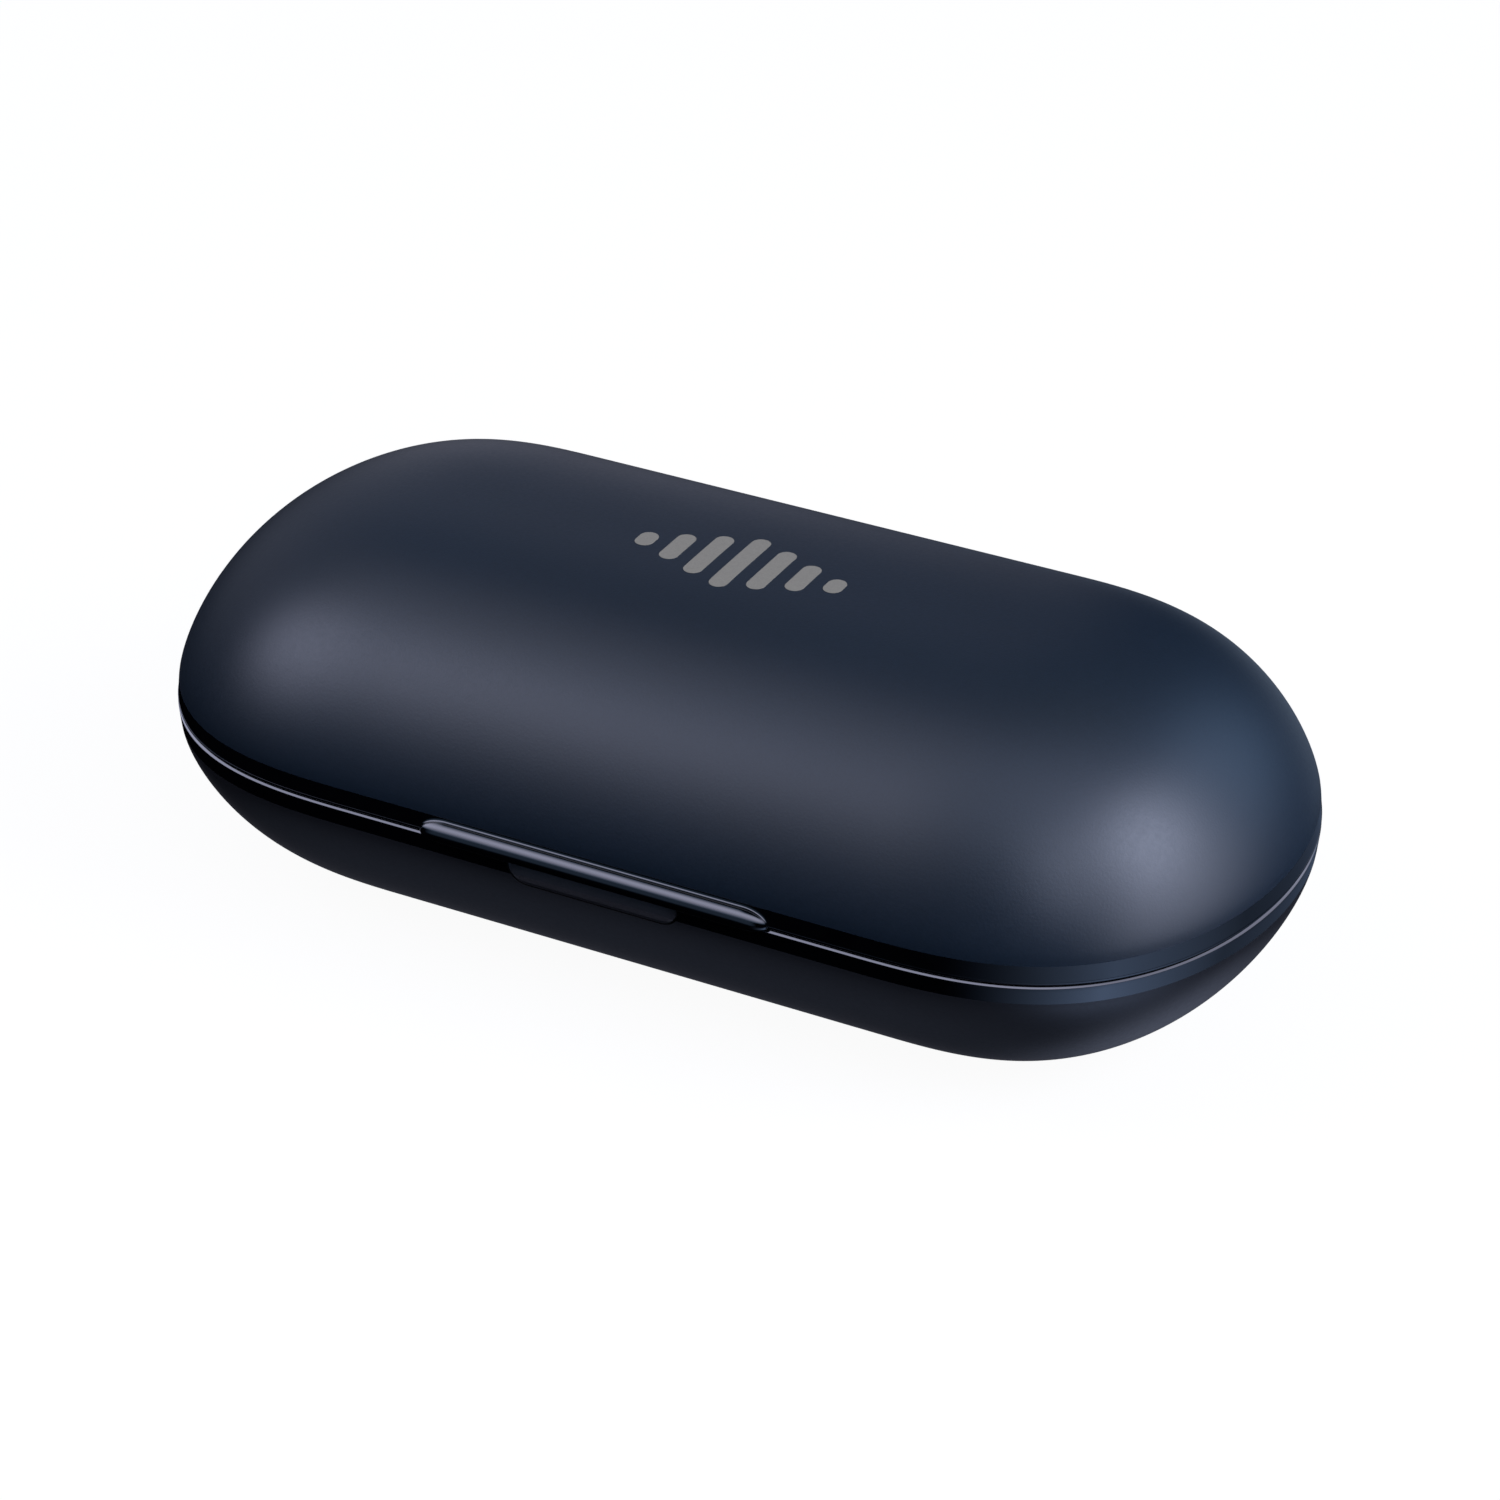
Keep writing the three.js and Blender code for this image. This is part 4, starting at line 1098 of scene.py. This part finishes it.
def build_case(finishes):
    satin, gloss, matt = (finishes[k] for k in ("satin_navy", "gloss_navy", "matt_black"))
    stand_in(lid_skin(satin), "lid", "satin_navy", "lid_shell")
    stand_in(lid_ring(gloss), "lid", "gloss_navy", "lid_rim")
    stand_in(liner(matt), "lid", "matt_black", "lid_liner")
    stand_in(lid_mark(finishes["grey_ink"]), "lid", "satin_navy")
    dish = finishes["dish_charcoal"]
    seam = finishes["seam_black"]
    base_satin = finishes["satin_charcoal"]
    stand_in(base_skin(base_satin, dish, seam), "base", "satin_navy", "base_shell")
    stand_in(base_ring(gloss, finishes["dish_edge"], seam), "base", "gloss_navy", "base_rim")
    stand_in(tray(matt), "base", "matt_black", "cradle_tray")
    stand_in(light_guide(finishes["frosted_clear"]), "base", "frosted_clear", "light_pipe")
    stand_in(socket_shell(finishes["steel"]), "base", "steel", "usb_socket_shell")
    stand_in(socket_tongue(matt), "base", "matt_black", "usb_socket_tongue")
    stand_in(socket_pads(finishes["contact_gold"]), "base", "contact_gold")
    for node in contact_nodes("barrel"):
        stand_in(contact_barrel(node, finishes["contact_gold"]), "base", "contact_gold", node)
    for node in contact_nodes("plunger"):
        body = node.replace("contact_", "")
        stand_in(contact_plunger(node, finishes["contact_gold"]), body, "contact_gold", node)
    for node in contact_nodes("spring"):
        add_spring(node, finishes["steel"])


def add_spring(node, material):
    """The coil, from the floor of its barrel, on a mesh of its own."""
    spring = contact_spring(node, material)
    stand_in(spring, "base", "steel", node)
    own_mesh(spring)


def dress_cad_nodes(slots, finishes):
    """The small parts that stay as the CAD has them take their slot's finish."""
    for node, piece in frame["nodes"].items():
        piece.material_slots[0].material = finishes[slots[node]]
    for material in list(bpy.data.materials):
        if material.name.startswith("imported"):
            bpy.data.materials.remove(material)


# ---- Studio ----
# Distances of the lights and cards in metres, and the floor in millimetres
LIGHT_DISTANCE = 0.6
CARD_DISTANCE = 0.9
FLOOR_HALF = 3000
FLOOR_GAP = 0.02


def add_floor():
    """A pale sheet. It lights nothing itself, so the case keeps its dark underside."""
    points = [(x, y, -FLOOR_GAP) for x in (-FLOOR_HALF, FLOOR_HALF) for y in (-FLOOR_HALF, FLOOR_HALF)]
    floor = make_object("floor", points, [(0, 1, 3, 2)])
    finish = Finish("pale_sheet", Roughness=0.9, Specular_IOR_Level=0.0)
    finish.vary("Base Color", 400, (0.045, 0.045, 0.045), (0.05, 0.05, 0.05))
    finish.set("Emission Color", (1, 1, 1))
    finish.set("Emission Strength", 0.95)
    floor.data.materials.append(finish.material)
    floor.visible_glossy = False
    floor.visible_diffuse = False
    floor.visible_shadow = False


def add_world():
    """White to the camera, and black to everything else."""
    world = bpy.data.worlds.new("studio")
    bpy.context.scene.world = world
    nodes = Nodes(world)
    background = nodes.tree.nodes["Background"]
    rays = nodes.add("ShaderNodeLightPath")
    nodes.fill(background.inputs["Strength"], rays.outputs["Is Camera Ray"])
    nodes.fill(background.inputs["Color"], (1, 1, 1))


def soften_edges(light_data):
    """The softbox is brightest in its middle and fades to nothing at its edges."""
    nodes = Nodes(light_data)
    across = nodes.add("ShaderNodeNewGeometry").outputs["Parametric"]
    parts = nodes.add("ShaderNodeSeparateXYZ", Vector=across)
    fades = []
    for axis in ("X", "Y"):
        centred = nodes.maths("MULTIPLY_ADD", parts.outputs[axis], 2, -1)
        fades.append(nodes.maths("SUBTRACT", 1, nodes.maths("MULTIPLY", centred, centred)))
    nodes.fill(nodes.tree.nodes["Emission"].inputs["Strength"], nodes.maths("MULTIPLY", *fades))


def add_light(name, azimuth, elevation, size, brightness, rims):
    """A softbox of size (width, height) metres facing the case; brightness is its radiance, as a colour.
    Azimuth 0 is in front and 90 at the right. rims is light_only's state."""
    data = bpy.data.lights.new(name, "AREA")
    data.shape = "RECTANGLE"
    data.size, data.size_y = size
    data.energy = math.pi * size[0] * size[1]
    data.color = brightness
    soften_edges(data)
    light = bpy.data.objects.new(name, data)
    bpy.context.scene.collection.objects.link(light)
    a, e = math.radians(azimuth), math.radians(elevation)
    outward = Vector((math.sin(a) * math.cos(e), -math.cos(a) * math.cos(e), math.sin(e)))
    light.location = outward * LIGHT_DISTANCE + Vector((0, 0, PARTING * MM))
    light.rotation_mode = "QUATERNION"
    light.rotation_quaternion = outward.to_track_quat("Z", "Y")
    light_only(light, rims)


def low_card_glow(azimuth, elevation):
    """Swells towards the right, steps down and dies away behind."""
    if azimuth < 67:
        along = max((azimuth + 8) / 75, 0) ** 1.7
    else:
        along = max(1 - 0.65 * (azimuth - 67) / 48, 0.2)
    return along * (0.42 + 0.16 * (-elevation - 23) / 19)


def arch_glow(azimuth, elevation):
    """A soft ribbon of light from low on the left, over the front and down to the right."""
    middle = 56 - 0.0025 * (azimuth - 30) ** 2
    reach = np.interp(azimuth, (-80, -30, 60, 120), (20, 36, 36, 28))
    if elevation > middle:
        reach = np.interp(azimuth, (-85, -30), (52, 26))
    fade = np.interp(azimuth, (-135, -115, 40, 80, 150, 165), (0, 1, 1, 0.7, 0.7, 0))
    skirt = 0.07 * np.interp(azimuth, (-60, -40, 0, 15), (0, 1, 1, 0))
    skirt *= np.interp(elevation, (-13, -5), (0, 1))
    return fade * max(max(1 - ((elevation - middle) / reach) ** 2, 0) ** 1.5, skirt)


def add_card(name, azimuths, elevations, glow, colour, edge_colour):
    """A curved luminous card round the case, seen only by the polished rims."""
    radius = CARD_DISTANCE / MM
    points, brightness = [], []
    for elevation in elevations:
        for azimuth in azimuths:
            a, e = math.radians(azimuth), math.radians(elevation)
            flat = radius * math.cos(e)
            points.append((flat * math.sin(a), -flat * math.cos(a), radius * math.sin(e)))
            brightness.append(glow(azimuth, elevation))
    wide = len(azimuths)
    faces = [(k + i, k + i + 1, k + i + 1 + wide, k + i + wide)
             for k in range(0, (len(elevations) - 1) * wide, wide) for i in range(wide - 1)]
    card = make_object(name, points, faces)
    layer = card.data.attributes.new("glow", "FLOAT", "POINT")
    layer.data.foreach_set("value", brightness)
    finish = Finish(name + "_glow", Base_Color=(0, 0, 0), Specular_IOR_Level=0.0)
    brightness = finish.add("ShaderNodeAttribute", {"attribute_name": "glow"}).outputs["Fac"]
    finish.set("Emission Color", finish.ramp(brightness, edge_colour, colour, 0, 0.5))
    finish.set("Emission Strength", brightness)
    card.data.materials.append(finish.material)
    card.visible_shadow = False
    card.visible_camera = False
    light_only(card, "INCLUDE")


def light_only(lamp, state):
    """Lets a lamp light the polished rims alone (INCLUDE) or all but them (EXCLUDE)."""
    group = bpy.data.collections.get("rims_" + state) or bpy.data.collections.new("rims_" + state)
    for name in ("lid_polished_rim", "base_polished_rim"):
        if name not in group.objects:
            group.objects.link(bpy.data.objects[name])
    for entry in group.collection_objects:
        entry.light_linking.link_state = state
    lamp.light_linking.receiver_collection = group


def add_camera():
    """Looks from the front right and above, as far off as the perspective asks for."""
    azimuth, elevation, roll = (math.radians(angle) for angle in (27.556, 30.269, 0.358))
    distance, aim_right, aim_up = 330.49, -0.712, 0.69
    horizontal = math.cos(elevation)
    back = Vector((math.sin(azimuth) * horizontal, -math.cos(azimuth) * horizontal, math.sin(elevation)))
    level = Vector((math.cos(azimuth), math.sin(azimuth), 0))
    upright = back.cross(level)
    right = level * math.cos(roll) + upright * math.sin(roll)
    up = upright * math.cos(roll) - level * math.sin(roll)
    data = bpy.data.cameras.new("camera")
    data.sensor_width = 36
    data.lens = 119.85
    data.clip_start, data.clip_end = 0.01, 20
    camera = bpy.data.objects.new("camera", data)
    bpy.context.scene.collection.objects.link(camera)
    place = Matrix((right, up, back)).transposed().to_4x4()
    place.translation = (back * distance - right * aim_right - up * aim_up + Vector((0, 0, PARTING))) * MM
    camera.matrix_world = place
    bpy.context.scene.camera = camera


cad_slots = free_cad_names()
all_finishes = make_finishes()
build_case(all_finishes)
dress_cad_nodes(cad_slots, all_finishes)
add_floor()
add_world()
add_light("key", -55, 58, (0.5, 0.36), (0.372, 0.392, 0.481), "EXCLUDE")
add_light("key_low", -58, 38, (0.45, 0.45), (4.88, 5.15, 6.81), "EXCLUDE")
add_light("front_left", -28, 42, (0.4, 0.4), (0.408, 0.36, 0.287), "EXCLUDE")
add_light("left_top", -95, 62, (0.5, 0.4), (0.776, 0.748, 0.823), "EXCLUDE")
add_light("overhead", 40, 74, (1.0, 0.8), (1.14, 1.28, 1.71), "EXCLUDE")
add_light("front_right", 50, 40, (0.45, 0.4), (3.3, 3.6, 4.71), "EXCLUDE")
add_light("right_high", 95, 35, (0.42, 0.4), (10.6, 11.5, 15), "EXCLUDE")
add_light("right_side", 92, 10, (0.8, 0.4), (3.2, 3.41, 4.33), "EXCLUDE")
add_light("right_under", 70, -50, (0.6, 0.4), (0.827, 1.05, 1.64), "EXCLUDE")
add_light("under_right", 165, -58, (0.4, 0.35), (0.443, 0.508, 0.715), "EXCLUDE")
add_light("right_back", 140, 25, (0.45, 0.6), (0.799, 1.25, 2.01), "EXCLUDE")
add_light("back_left", -120, 18, (0.8, 0.6), (0.291, 0.305, 0.382), "EXCLUDE")
add_light("back_rim", -150, 8, (0.3, 0.5), (0.427, 0.428, 0.515), "EXCLUDE")
add_light("back_low", 180, -14, (0.5, 0.3), (0.293, 0.364, 0.482), "EXCLUDE")
add_light("back_top", 180, 60, (0.5, 0.4), (0.208, 0.199, 0.115), "EXCLUDE")
add_light("under_back", -150, -42, (0.6, 0.4), (0.164, 0.164, 0.209), "EXCLUDE")
add_light("under", -60, -72, (0.8, 0.6), (0.124, 0.144, 0.206), "EXCLUDE")
add_light("edge_strip", -148, 38, (0.3, 0.24), (0.9, 1, 1.4), "INCLUDE")
add_light("rim_back", 180, 14, (1.0, 0.4), (0.5, 0.55, 0.7), "INCLUDE")
LOW_BLUE = (0.7, 1.0, 1.65)
add_card("low_card", np.arange(-10, 191, 2), np.arange(-52, -13, 4), low_card_glow, LOW_BLUE, LOW_BLUE)
ARCH_COLOURS = ((1.75, 1.82, 2.45), (1.0, 1.7, 2.8))
add_card("arch_card", np.arange(-140, 171, 5), np.arange(-12, 81, 4), arch_glow, *ARCH_COLOURS)
add_camera()
bpy.context.scene.view_settings.view_transform = "Standard"
